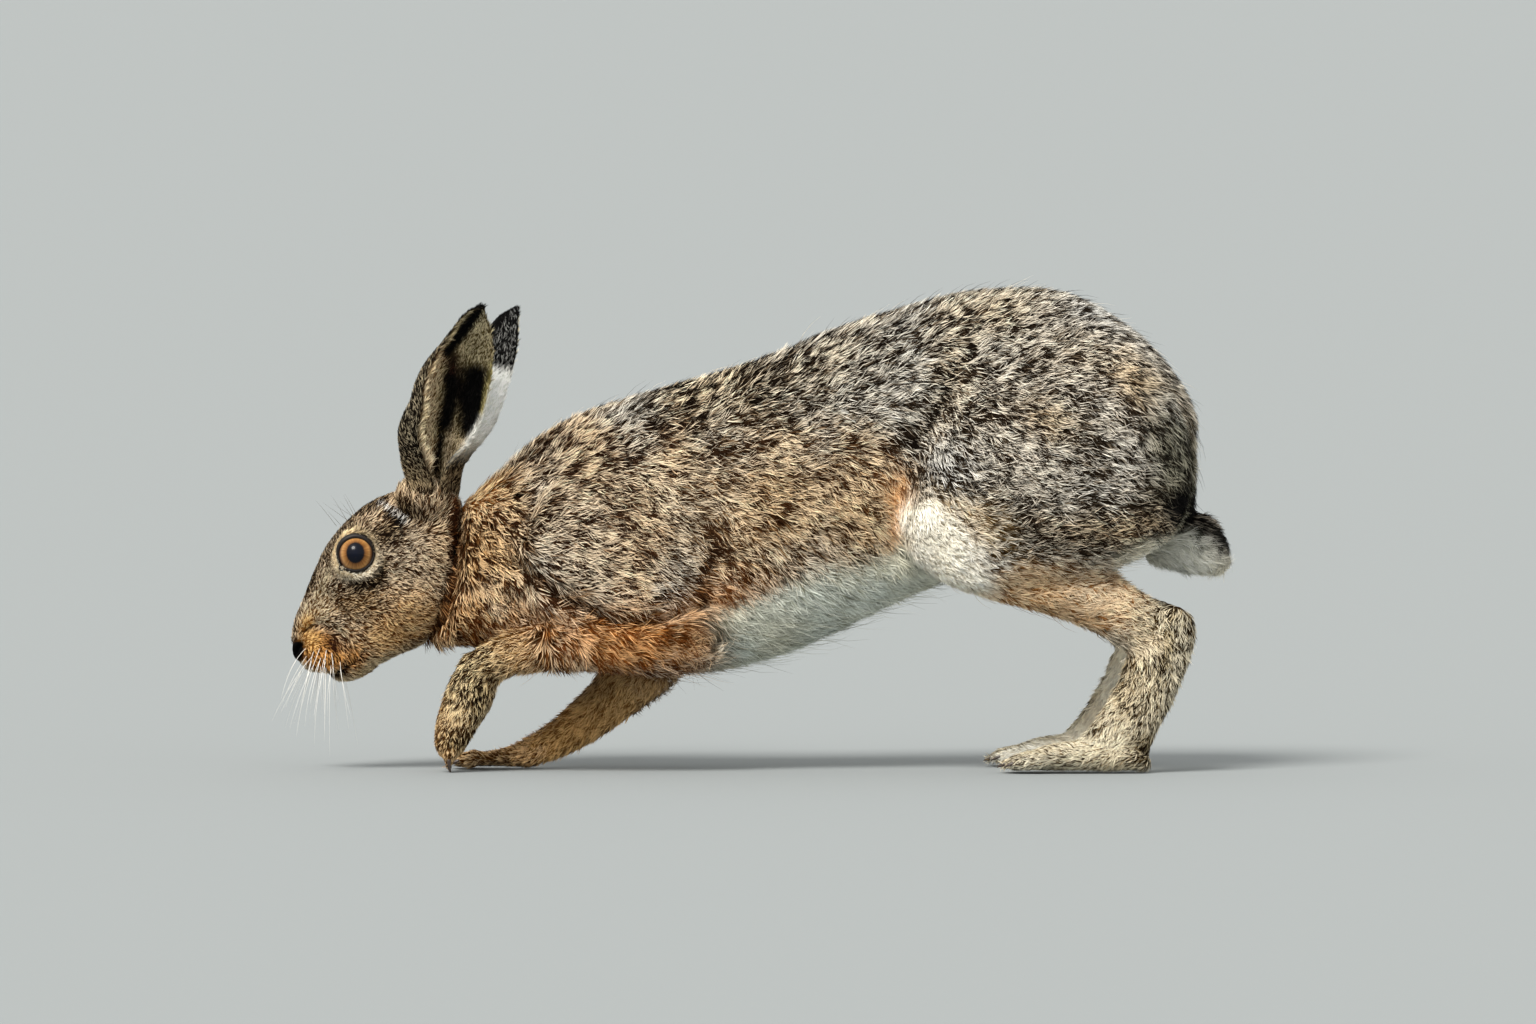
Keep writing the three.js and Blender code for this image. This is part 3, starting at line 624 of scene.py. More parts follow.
coats = {
    "saddle": [(253, 243, 223), (21, 12, 5), (32, 22, 11), 0.45],
    "saddleDark": [(252, 236, 208), (15, 8, 3), (23, 14, 6), 0.35],
    # gully: dark fur where the coat parts before the thigh, with painted shade of the groove there
    "gully": [(248, 236, 214), (10, 6, 3), (17, 11, 6), 0.3],
    "shoulder": [(252, 230, 198), (36, 19, 7), (48, 30, 14), 0.51],
    "flank": [(248, 222, 184), (50, 28, 9), (64, 40, 19), 0.545],
    "axilla": [(226, 176, 122), (90, 46, 10), (100, 56, 18), 0.57],
    # painted shade: a dark coat for the folds under the upper arm, down the front of the neck and behind the
    # elbow
    "crease": [(161, 109, 59), (39, 21, 7), (43, 25, 9), 0.3],
    "nape": [(252, 226, 176), (140, 84, 34), (158, 102, 48), 0.68],
    "neck": [(240, 206, 158), (48, 24, 5), (58, 34, 11), 0.53],
    "throat": [(248, 208, 156), (70, 34, 5), (82, 46, 12), 0.51],
    "rump": [(245, 238, 224), (28, 20, 11), (40, 31, 20), 0.485],
    "rumpWarm": [(242, 222, 190), (34, 22, 10), (46, 32, 17), 0.5],
    "pale": [(250, 242, 225), (34, 25, 15), (48, 38, 25), 0.56],
    "buttock": [(152, 146, 124), (20, 16, 9), (30, 24, 15), 0.45],
    "thighDark": [(250, 226, 190), (22, 11, 4), (30, 19, 9), 0.41],
    "fold": [(244, 192, 134), (120, 68, 26), (142, 88, 40), 0.84],
    "cream": [(253, 248, 234), (250, 239, 218), (247, 234, 210), 0.98],
    "white": [(231, 232, 217), (132, 132, 112), (126, 126, 108), 0.85],
    "snow": [(253, 253, 250), (241, 243, 237), (228, 231, 224), 0.97],
    "tailWhite": [(250, 250, 242), (190, 191, 174), (172, 173, 157), 0.9],
    "tan": [(252, 233, 202), (94, 70, 36), (116, 90, 54), 0.71],
    "tanWarm": [(252, 226, 188), (128, 84, 42), (144, 102, 58), 0.72],
    "foot": [(248, 234, 202), (34, 22, 7), (47, 33, 14), 0.58],
    "footDark": [(220, 198, 150), (18, 11, 3), (26, 17, 6), 0.38],
    "straw": [(253, 242, 214), (54, 36, 13), (70, 51, 25), 0.75],
    "forearm": [(240, 204, 154), (70, 38, 7), (86, 52, 17), 0.58],
    "wrist": [(246, 224, 178), (24, 13, 3), (34, 23, 7), 0.47],
    "black": [(30, 28, 26), (5, 5, 5), (7, 6, 6), 0.3],
    "ink": [(150, 150, 147), (6, 6, 6), (8, 8, 7), 0.33],
    "face": [(246, 222, 188), (44, 25, 10), (56, 36, 17), 0.51],
    "faceWarm": [(246, 206, 150), (66, 32, 5), (78, 46, 13), 0.58],
    "faceDark": [(206, 178, 138), (20, 11, 4), (28, 17, 8), 0.34],
    "facePale": [(250, 232, 196), (74, 54, 30), (88, 68, 42), 0.68],
    "eyeRing": [(252, 245, 226), (236, 219, 188), (220, 200, 168), 0.95],
    "eyeTan": [(251, 240, 204), (238, 214, 170), (222, 198, 154), 0.92],
    "pad": [(236, 176, 104), (50, 20, 2), (60, 30, 5), 0.58],
    "padDark": [(115, 67, 26), (31, 13, 3), (31, 14, 3), 0.32],
    "earGrizzle": [(206, 190, 158), (18, 13, 8), (24, 18, 11), 0.38],
    "earTan": [(252, 234, 198), (110, 78, 46), (84, 60, 36), 0.76],
    "earOlive": [(244, 228, 186), (98, 84, 54), (74, 63, 41), 0.66],
    "earRed": [(83, 44, 33), (20, 9, 7), (20, 9, 7), 0.36],
    "earBrown": [(59, 44, 32), (13, 8, 6), (13, 8, 6), 0.36],
    "earLight": [(236, 220, 188), (96, 80, 57), (78, 66, 46), 0.64],
    "earEdge": [(202, 191, 135), (109, 100, 61), (100, 92, 57), 0.56],
    "faceBrown": [(232, 196, 146), (54, 29, 6), (66, 40, 14), 0.48],
    "padGold": [(248, 206, 136), (128, 84, 35), (118, 78, 35), 0.76],
    "chin": [(226, 204, 160), (66, 50, 20), (76, 60, 30), 0.55],
    "muzzle": [(252, 234, 198), (86, 56, 26), (96, 66, 34), 0.68],
    "foreInner": [(232, 190, 126), (116, 80, 38), (122, 88, 46), 0.6],
    "streak": [(252, 249, 243), (14, 11, 9), (20, 16, 13), 0.42],
    "earRoot": [(197, 176, 140), (35, 25, 15), (43, 32, 21), 0.46],
}
coatRows = {
    name: np.concatenate([tone(*bright), tone(*dark), tone(*root), [share]])
    for name, (bright, dark, root, share) in coats.items()
}

# Parts of a kind share their markings. Each marking is an oval patch in x and z: the kind it lies on, its
# coat, x and z of its middle, its two half widths, how far its long axis is turned in degrees, and how
# soft its edge is.
kinds = {
    "trunk": "body", "arm": "body", "thigh": "body", "shank": "shank", "foot": "foot", "hindpaw": "foot",
    "forearm": "fore", "forepaw": "fore", "tail": "tail", "head": "head",
}
baseCoats = {
    "body": "rump", "shank": "tan", "foot": "foot", "fore": "forearm", "tail": "tailWhite", "head": "face",
}
markings = [
    ["body", "saddle", 0, 210, 112, 36, 22, 0.7],
    ["body", "saddle", 88, 236, 76, 32, 8, 0.7],
    ["body", "saddleDark", -20, 200, 50, 16, 20, 0.9],
    ["body", "shoulder", -84, 130, 66, 62, 0, 0.5],
    ["body", "shoulder", -104, 172, 34, 24, 40, 0.8],
    ["body", "flank", 4, 138, 68, 44, 18, 0.8],
    ["body", "flank", 54, 140, 30, 42, 10, 0.7],
    ["body", "neck", -150, 112, 32, 54, -8, 0.9],
    ["body", "nape", -150, 148, 16, 13, 34, 0.9],
    ["body", "throat", -164, 80, 24, 24, 0, 0.8],
    ["body", "axilla", -74, 70, 66, 22, -2, 0.9],
    ["body", "axilla", -24, 84, 40, 19, 16, 0.9],
    ["body", "fold", 72, 136, 8, 26, -4, 0.9],
    ["body", "pale", 96, 196, 14, 26, -24, 1.2],
    ["body", "rumpWarm", 196, 206, 16, 12, -50, 1.0],
    ["body", "rumpWarm", 150, 186, 18, 12, -20, 1.0],
    ["body", "buttock", 216, 158, 20, 50, 4, 0.9],
    ["body", "thighDark", 188, 130, 47, 12, 2, 0.9],
    ["body", "tan", 121, 126, 18, 10, -45, 1.3],
    ["body", "tan", 100, 139, 24, 9, -12, 1.3],
    ["body", "tanWarm", 155, 92, 66, 21, 2, 0.4],
    ["body", "fold", 77, 137, 22, 10, -62, 0.7],
    ["body", "cream", 101, 117, 35, 17.5, -45, 0.35],
    ["body", "cream", 91, 129, 15, 12, -50, 0.4],
    ["body", "tailWhite", 206, 117, 22, 8.5, 20, 0.8],
    ["body", "black", 223, 139.5, 13, 11.5, -14, 0.4],
    ["shank", "tanWarm", 150, 104, 60, 24, -10, 0.6],
    ["shank", "cream", 102, 104, 34, 20, -40, 0.5],
    ["shank", "cream", 150, 82, 50, 5, -18, 0.9],
    ["shank", "foot", 206, 88, 20, 16, 40, 0.9],
    ["foot", "straw", 181, 42, 7, 32, 18, 1.0],
    ["foot", "footDark", 212, 64, 3, 22, -10, 1.0],
    ["foot", "footDark", 203, 13, 9, 7, 0, 0.9],
    ["foot", "straw", 158, 10, 42, 16, 0, 0.7],
    ["fore", "axilla", -62, 66, 40, 20, 0, 1.0],
    ["fore", "wrist", -154, 46, 22, 34, 0, 0.9],
    ["fore", "footDark", -148, 40, 4, 14, -20, 1.0],
    ["fore", "footDark", -162, 16, 10, 7, 0, 1.0],
    ["head", "faceWarm", -194, 76, 34, 18, 24, 0.8],
    ["head", "faceBrown", -212, 90, 17, 8, 10, 0.8],
    ["head", "muzzle", -232.5, 86, 9, 11, -20, 0.8],
    ["head", "padGold", -239, 78, 4, 7, -20, 1.0],
    ["head", "facePale", -229.5, 102, 2.8, 10, -22, 0.9],
    ["head", "faceDark", -196, 126, 8, 7, 22, 1.0],
    ["head", "faceDark", -211, 98.5, 11, 3.4, 6, 0.9],
    ["head", "faceDark", -187, 138, 9, 6, -30, 1.0],
    ["head", "pad", -230, 62, 13.5, 13.5, 0, 0.4],
    ["head", "padGold", -236.5, 69, 5.5, 6.5, 0, 0.9],
    ["head", "padDark", -226, 67, 4.6, 6, 20, 1.0],
    ["head", "padDark", -229, 50, 12, 2.4, 0, 0.9],
    ["head", "pad", -214.5, 60, 6, 9, -20, 0.8],
    ["head", "facePale", -221, 75.3, 4.2, 3, -30, 0.8],
    ["head", "chin", -206, 54, 11, 5, 30, 0.8],
    ["head", "black", -205.2, 139.2, 3.6, 3, 40, 0.5],
]
# Rings round the eyes, on the sides of the head only
eyeRings = [["eyeTan", -213.2, 117.2, 13, 13.2, 30, 0.4], ["eyeRing", -212.4, 113.8, 13.8, 12.4, 0, 0.3]]
# Strokes run along a path in x and z: kind, coat, path, half width, softness
strokes = [
    # dark fur where the coat parts before the thigh, with painted shade of the groove there
    ["body", "gully", [(113, 223), (103, 215), (96, 204)], 5, 1.0],
    ["body", "gully", [(95, 194), (88, 182), (80, 172)], 4.5, 1.2],
    ["body", "pale", [(108, 202), (100, 186), (92, 170)], 3.2, 1.3],
    # painted shade along the folds under the upper arm, down the front of the neck and behind the elbow
    ["body", "crease", [(-116, 102), (-100, 91.5), (-81, 82), (-60, 80)], 3.4, 1.0],
    ["body", "crease", [(-159, 150), (-160, 118), (-162, 98), (-168, 80), (-180, 70)], 4, 0.9],
    ["body", "crease", [(-22, 122), (-34, 100), (-30, 90)], 3, 1.0],
    ["head", "faceDark", [(-199, 144), (-216.5, 135.5), (-229, 125), (-235.5, 110), (-239.5, 97)], 3.6, 0.9],
    # painted shade in the gap between the jaw and the neck
    [
        "head", "padDark", [(-162.5, 142), (-162.8, 109), (-165, 97), (-169, 78), (-178.6, 70.5), (-186, 66)],
        2.6, 0.7,
    ],
    # painted shade in the gap between the jaw and the neck
    ["head", "black", [(-163, 118), (-164, 100), (-168.5, 84)], 1.4, 0.9],
    ["head", "faceDark", [(-197.6, 112), (-198.6, 105), (-203, 100.5)], 2.6, 0.8],
    ["head", "faceDark", [(-203, 100), (-213, 97)], 3, 0.9],
    ["head", "black", [(-198, 136), (-192.5, 132), (-190, 127)], 1.5, 0.9],
    ["head", "streak", [(-201, 140.5), (-195, 137), (-188, 132)], 1.9, 0.9],
    ["tail", "black", [(206, 143), (226, 140), (238, 131), (250, 121)], 12, 0.5],
    # painted shade in the groove round the back of the whisker pad
    ["head", "padDark", [(-242, 74), (-236, 77.4), (-229, 77), (-221, 72.5), (-216.5, 64)], 1.1, 0.9],
]
# Where the coat is longer or shorter than its part's: x and z of the middle, half widths, turn, softness,
# factor
lengths = [
    [100, 118, 38, 24, -42, 0.8, 0.52],
    [140, 104, 70, 18, 0, 0.8, 0.75],
    [-152, 110, 26, 60, 0, 0.8, 0.78],
    [30, 78, 90, 22, 24, 0.8, 1.2],
    [70, 140, 12, 36, 0, 0.8, 0.85],
    [-162, 8, 16, 10, 0, 0.8, 0.6],
    [140, 6, 14, 9, 0, 0.8, 0.7],
]


def inOval(points, x, z, long, high, turn, soft, wander=0.0):
    # 1 inside the oval, 0 outside, soft between
    c, s = math.cos(math.radians(turn)), math.sin(math.radians(turn))
    dx, dz = points[:, 0] - x, points[:, 2] - z
    reach = np.hypot((dx * c + dz * s) / long, (dz * c - dx * s) / high) + wander
    return smooth(1 + soft / 2, 1 - soft, reach)


# Coats whose patches have a calm edge, and how much of the wander that edge takes
calm = ("cream", "eyeRing", "eyeTan", "snow", "black")
calmShare = 0.3


def patched(points, start, patches, wander, lines=()):
    # each patch and stroke pulls the coat towards its own; their edges wander with noise, the calm ones
    # less
    coat = np.tile(coatRows[start], (len(points), 1))
    for paint, *oval in patches:
        coat = toward(coat, paint, inOval(points, *oval, wander * (calmShare if paint in calm else 1)))
    for paint, path, half, soft in lines:
        near = fromPath(points, path) / half + wander * (calmShare if paint in calm else 1)
        coat = toward(coat, paint, smooth(1 + soft / 2, 1 - soft, near))
    return coat


def toward(coat, paint, amount):
    # coat + amount * (paint - coat)
    return coat + (coatRows[paint] - coat) * amount[:, None]


# The white belly: a point on its upper edge in x and z, the edge's slope, softness and wander, then where
# it fades in and out along the body and by which way the skin faces. Inner sides are pale too.
belly = {
    "x": -18, "z": 88, "slope": 0.335, "edge": (7, -6), "wander": 14, "front": (-40, -12), "rear": (112, 84),
    "below": (-0.45, -0.85), "belowFront": (-30, 0), "belowRear": (110, 92), "thigh": (60, 100),
    "inner": (0.25, 0.7),
}


def painted(points, normals, weights):
    # the coat of each kind of part, blended by how far a point belongs to it
    total = np.zeros((len(points), 10))
    wander = cloud(points, 16, 3) * 0.2 + cloud(points, 6, 4) * 0.16
    below = smooth(*belly["below"], normals[:, 2] + 0.15 * wander)
    x, y, z = points.T
    inner = smooth(*belly["inner"], -normals[:, 1] * np.sign(y)) * (np.abs(y) > 4)
    edge = belly["z"] + (x - belly["x"]) * belly["slope"]
    for kind in set(kinds.values()):
        shares = [share for name, share in weights.items() if kinds[plainName(name)] == kind]
        weight = sum(shares, np.zeros(len(points)))
        if not weight.any():
            continue
        patches = [mark[1:] for mark in markings if mark[0] == kind]
        lines = [line[1:] for line in strokes if line[0] == kind]
        coat = patched(points, baseCoats[kind], patches, wander, lines)
        if kind == "body":
            under = smooth(*belly["edge"], z - edge + belly["wander"] * wander)
            under = under * smooth(*belly["front"], x + 20 * wander)
            under = under * smooth(*belly["rear"], x)
            underneath = below * smooth(*belly["belowFront"], x) * smooth(*belly["belowRear"], x)
            under = np.maximum(under, underneath)
            coat = toward(coat, "white", under)
            coat = toward(coat, "white", inner * smooth(*belly["thigh"], x))
        if kind in ("shank", "foot"):
            coat = toward(coat, "cream", inner * 0.7)
        if kind == "head":
            coat = toward(coat, "facePale", below * 0.7)
            outer = smooth(13, 17.5, np.abs(y))
            for paint, *oval in eyeRings:
                coat = toward(coat, paint, inOval(points, *oval, wander * calmShare) * outer)
        if kind == "fore":
            coat = toward(coat, "foreInner", inner * 0.85)
        total += coat * weight[:, None]
    return total


def plainName(name):
    # without its side
    return name.replace("Left", "").replace("Right", "")


# The lie of the coat in x and z at places on the body and on the head
combs = {
    "body": [
        [-160, 140, 0.6, -0.5], [-150, 110, 0.5, -0.8], [-165, 75, 0.6, -0.8], [-130, 165, 1, 0.2],
        [-100, 185, 1, 0.2], [-100, 150, 0.95, -0.3], [-90, 115, 0.85, -0.5], [-90, 90, 0.9, -0.4],
        [-60, 205, 1, 0.2], [-50, 160, 0.95, -0.35], [-45, 120, 0.8, -0.6], [-60, 62, 0.95, -0.3],
        [0, 222, 1, 0.3], [0, 180, 1, -0.1], [0, 140, 0.9, -0.45], [0, 105, 0.6, -0.8],
        [60, 240, 1, 0.25], [50, 190, 1, -0.1], [45, 140, 0.8, -0.6], [66, 115, 0.5, -0.9],
        [110, 254, 1, 0.05], [100, 215, 0.9, -0.4], [86, 165, 0.6, -0.8], [90, 125, 0.8, -0.6],
        [160, 255, 1, -0.1], [150, 215, 0.95, -0.35], [130, 170, 0.8, -0.6], [130, 130, 1, -0.05],
        [130, 105, 1, 0.05], [200, 235, 0.75, -0.65], [190, 190, 0.7, -0.7], [190, 140, 0.95, 0],
        [225, 190, 0.3, -1], [226, 150, 0.3, -1], [210, 118, 0.9, -0.3], [60, 88, 1, 0.2], [0, 62, 1, 0.1],
    ],
    "head": [
        [-245, 76, 0.3, 0.95], [-240, 92, 0.4, 0.9], [-230, 116, 0.55, 0.83], [-216, 134, 0.8, 0.6],
        [-200, 143, 1, 0.2], [-188, 146, 0.4, 0.9], [-176, 150, 0.15, 1], [-168, 144, 0.5, 0.5],
        [-224, 100, 0.6, 0.5], [-212, 96, 0.95, 0.1],
        [-196, 118, 1, 0.1], [-186, 96, 0.95, -0.3], [-170, 110, 0.85, -0.5], [-190, 76, 0.9, -0.4],
        [-236, 70, 0.3, -0.3], [-230, 62, 0.5, -0.8], [-222, 62, 0.6, -0.8], [-212, 52, 0.95, 0.1],
        [-205, 62, 0.95, 0.1], [-232, 80, 0.8, 0.5], [-214, 80, 0.95, 0.1], [-180, 70, 0.8, -0.5],
    ],
}
combReach = {"body": 26, "head": 9}
# How far along a tuft its marking is read, as a share of its length, and the part of a length's factor
# that its depth takes
tuftMiddle = 0.55
depthShare = 0.85


def combed(points, group):
    # mean of the comb directions, each counted by exp(-(distance / reach) ** 2)
    total = np.zeros_like(points)
    for x, z, dx, dz in combs[group]:
        apart = ((points[:, 0] - x) ** 2 + (points[:, 2] - z) ** 2) / combReach[group] ** 2
        total += (np.exp(-apart) + 1e-4 / (1 + apart))[:, None] * np.array([dx, 0, dz])
    return unit(total)


def bending(points, faces, normals, lie):
    # how fast the skin turns down along the lie: the change of normal along each edge over its length,
    # where the edges that run with the lie count most, then a few passes of smoothing
    ends = faces[:, [0, 1, 1, 2, 2, 0]].reshape(-1, 2)
    a, b = ends.T
    edge = points[b] - points[a]
    long = (edge**2).sum(1)
    turn = ((normals[b] - normals[a]) * edge).sum(1) / long
    weight = (edge * lie[a]).sum(1) ** 2 / long + 0.05
    bend = np.bincount(a, turn * weight, len(points)) / np.maximum(np.bincount(a, weight, len(points)), 1e-9)
    return np.clip(relaxed(bend[:, None], ends, 10, 0.7), 0, 0.07)


def skinFields(points, faces, names):
    # at each point of skin: its normal, the lie of the coat, the coat's sizes and colours, the skin's
    # bend, and the part it belongs to with its place on it
    normals = normalsOf(points, faces)
    found, weights = belonging(points, names)
    group = "head" if names == ["head"] else "body"
    grain = combed(points, group)
    lie = np.zeros_like(points)
    for name, weight in weights.items():
        combable = plainName(name) in ("trunk", "arm", "thigh", "head")
        lie += (grain if combable else found[name]["lie"]) * weight[:, None]
    lie -= normals * (lie * normals).sum(1, keepdims=True)
    fields = {"normal": normals, "lie": unit(lie)}
    for key in ("depth", "long", "wide", "dense"):
        fields[key] = sum(parts[name][key] * weight for name, weight in weights.items())[:, None]
    fields["coat"] = painted(points + fields["lie"] * fields["long"] * tuftMiddle, normals, weights)
    fields["bend"] = bending(points, faces, normals, fields["lie"])
    if group == "body":
        for *oval, factor in lengths:
            share = inOval(points, *oval)[:, None]
            fields["long"] = fields["long"] * (1 + (factor - 1) * share)
            fields["depth"] = fields["depth"] * (1 + depthShare * (factor - 1) * share)
    fields["part"] = np.argmax([weights[name] for name in names], axis=0)
    places = np.stack([found[name]["place"] for name in names])
    fields["place"] = places[fields["part"], np.arange(len(points))]
    return fields


bodyNames = [name for name in parts if name != "head"]
bodyFields = skinFields(bodyPoints, bodyFaces, bodyNames)
headFields = skinFields(headPoints, headFaces, ["head"])
print("lie and markings done")


# The muzzle's coat is shortest, and the nose and lids are bare: what each area adds to the size of its
# tufts
faceHair = {
    "long": {"muzzle": -0.42, "crown": 0.35, "jaw": 0.5, "lid": -0.5},
    "depth": {"muzzle": -0.45, "crown": 0.25, "jaw": 0.4},
    "wide": {"muzzle": -0.25, "lid": -0.25},
    "dense": {"lid": 0.7},
}
bareSkin = {"nose": (3.4, 2.8), "mouth": (1.4, 0.5), "mouthShare": 0.8, "lid": (11.0, 10.2), "lidFront": -6}


def faceFields():
    # size * (1 + the sum of area * what it adds); bare is 1 on the nose and inside the lids
    x, _, z = headPoints.T
    areas = {
        "muzzle": smooth(-214, -238, x),
        "crown": smooth(-214, -190, x) * smooth(120, 140, z),
        "jaw": smooth(-196, -172, x) * smooth(96, 76, z),
        "lid": smooth(20, 13, np.hypot(x - eye["x"], z - eye["z"])),
    }
    for key, added in faceHair.items():
        factor = 1
        for area, amount in added.items():
            factor = factor + amount * areas[area]
        headFields[key] = headFields[key] * factor[:, None]
    bare = smooth(*bareSkin["nose"], fromPath(headPoints, nosePath))
    mouth = smooth(*bareSkin["mouth"], fromPath(headPoints, mouthPath))
    for side in (left, right):
        _, depth, away = aboutEye(headPoints, side)
        bare = np.maximum(bare, smooth(*bareSkin["lid"], away) * (depth > bareSkin["lidFront"]))
    covered = (1 - bare[:, None]) * (1 - bareSkin["mouthShare"] * mouth[:, None])
    headFields["dense"] = headFields["dense"] * covered
    headFields["coat"] = toward(headFields["coat"], "black", np.maximum(bare, mouth))


faceFields()


# Materials
def nodeMaterial(name, rough, specular):
    material = bpy.data.materials.new(name)
    material.use_nodes = True
    shader = material.node_tree.nodes["Principled BSDF"]
    shader.inputs["Roughness"].default_value = rough
    shader.inputs["Specular IOR Level"].default_value = specular
    return material, shader, material.node_tree


def plainMaterial(name, rough, specular, colour):
    material, shader, _ = nodeMaterial(name, rough, specular)
    shader.inputs["Base Color"].default_value = (*colour, 1)
    return material


def addNode(tree, kind, inputs, operation=None):
    # inputs: for each named or numbered input a value, or the output that feeds it
    node = tree.nodes.new("ShaderNode" + kind)
    if operation:
        node.operation = operation
    for place, given in inputs.items():
        if isinstance(given, bpy.types.NodeSocket):
            tree.links.new(given, node.inputs[place])
        else:
            node.inputs[place].default_value = given
    return node


def carriedBy(tree, name):
    # a node that reads the mesh's own attribute
    node = addNode(tree, "Attribute", {})
    node.attribute_name = name
    return node


def attributeMaterial(name, rough, specular, bump, scale):
    # the colour that the mesh carries, with a fine noise in light and relief
    material, shader, tree = nodeMaterial(name, rough, specular)
    carried = carriedBy(tree, "coat")
    coords = addNode(tree, "TexCoord", {})
    noise = addNode(tree, "TexNoise", {"Vector": coords.outputs["Object"], "Scale": scale})
    vary = addNode(tree, "MapRange", {"Value": noise.outputs["Fac"], "To Min": 0.8, "To Max": 1.2})
    paint = {0: carried.outputs["Color"], "Scale": vary.outputs["Result"]}
    scaled = addNode(tree, "VectorMath", paint, "SCALE")
    tree.links.new(scaled.outputs["Vector"], shader.inputs["Base Color"])
    if bump:
        relief = addNode(tree, "Bump", {"Strength": bump, "Distance": 0.001, "Height": noise.outputs["Fac"]})
        tree.links.new(relief.outputs["Normal"], shader.inputs["Normal"])
    return material


def carryColour(piece, colours):
    # one linear colour for each point
    layer = piece.data.attributes.new("coat", "FLOAT_COLOR", "POINT")
    rgba = np.ones((len(colours), 4), np.float32)
    rgba[:, :3] = np.clip(colours, 0, 1)
    layer.data.foreach_set("color", rgba.ravel())


skinMaterial = attributeMaterial("skin under coat", 0.95, 0.03, 0.5, 700)
hairMaterial = attributeMaterial("coat hair", 0.8, 0.06, 0, 400)


def underCoat(coat):
    # skin seen between tufts: between the dark band and the root of the coat over it
    return coat[:, 3:6] * 0.45 + coat[:, 6:9] * 0.4


fleshNodes = [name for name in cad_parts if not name.startswith(("eye", "ear"))]
skinPoints, skinFaces = joined([(bodyPoints, bodyFaces), (headPoints, headFaces)])
skin = makePiece("skin", skinPoints, skinFaces, skinMaterial, "back_coat", fleshNodes)
carryColour(skin, underCoat(np.concatenate([bodyFields["coat"], headFields["coat"]])))


# Coat: how far tufts gather in locks, stray, turn with their lock and sway, how they curl and roll, the
# roots' depth and the floor's gap, and the size of a tuft's patch. long, deep and wide are the least
# factor of each and what the tuft's and the lock's luck add. tilt limits the angle off the skin, which
# falls from root to tip; half is the blade's half width and its swell at the middle.
coatLook = {
    "clump": 0.9, "stray": 0.13, "lockTurn": 0.8, "sway": 0.3, "curl": 0.45, "tuftCurl": 0.12, "roll": 0.35,
    "rooted": 0.3, "floor": 0.15, "patch": 0.003, "long": (0.78, 0.3, 0.24), "deep": (0.62, 0.3, 0.34),
    "wide": (0.7, 0.6, 0), "tilt": (0.05, 0.85), "steep": (1.35, 0.35), "half": (0.42, 0.12),
}
# Bands of a hair: where the dark band and the bright one come in, as shares of the length, and how far
# light and warmth vary from tuft to tuft and over the coat
bands = {
    "dark": (0.05, 0.35), "bright": (0.2, 0.75), "deepDark": (0.05, 0.4), "rootShade": 0.8, "choice": 0.1,
    "lockGapShade": 0.3, "coarse": 0.07, "fine": 0.05, "tuftLight": 0.3, "lockLight": 0.3, "coatLight": 0.08,
    "warmth": 0.07,
}


def faceAreas(points, faces):
    # |(b - a) x (c - a)| / 2
    a, b, c = (points[faces[:, k]] for k in range(3))
    return np.linalg.norm(np.cross(b - a, c - a), axis=1) / 2


def drawnFaces(draw, weight, count):
    # each face is drawn as often as its weight says
    chosen = np.searchsorted(np.cumsum(weight), draw.random(count) * weight.sum())
    return np.minimum(chosen, len(weight) - 1)


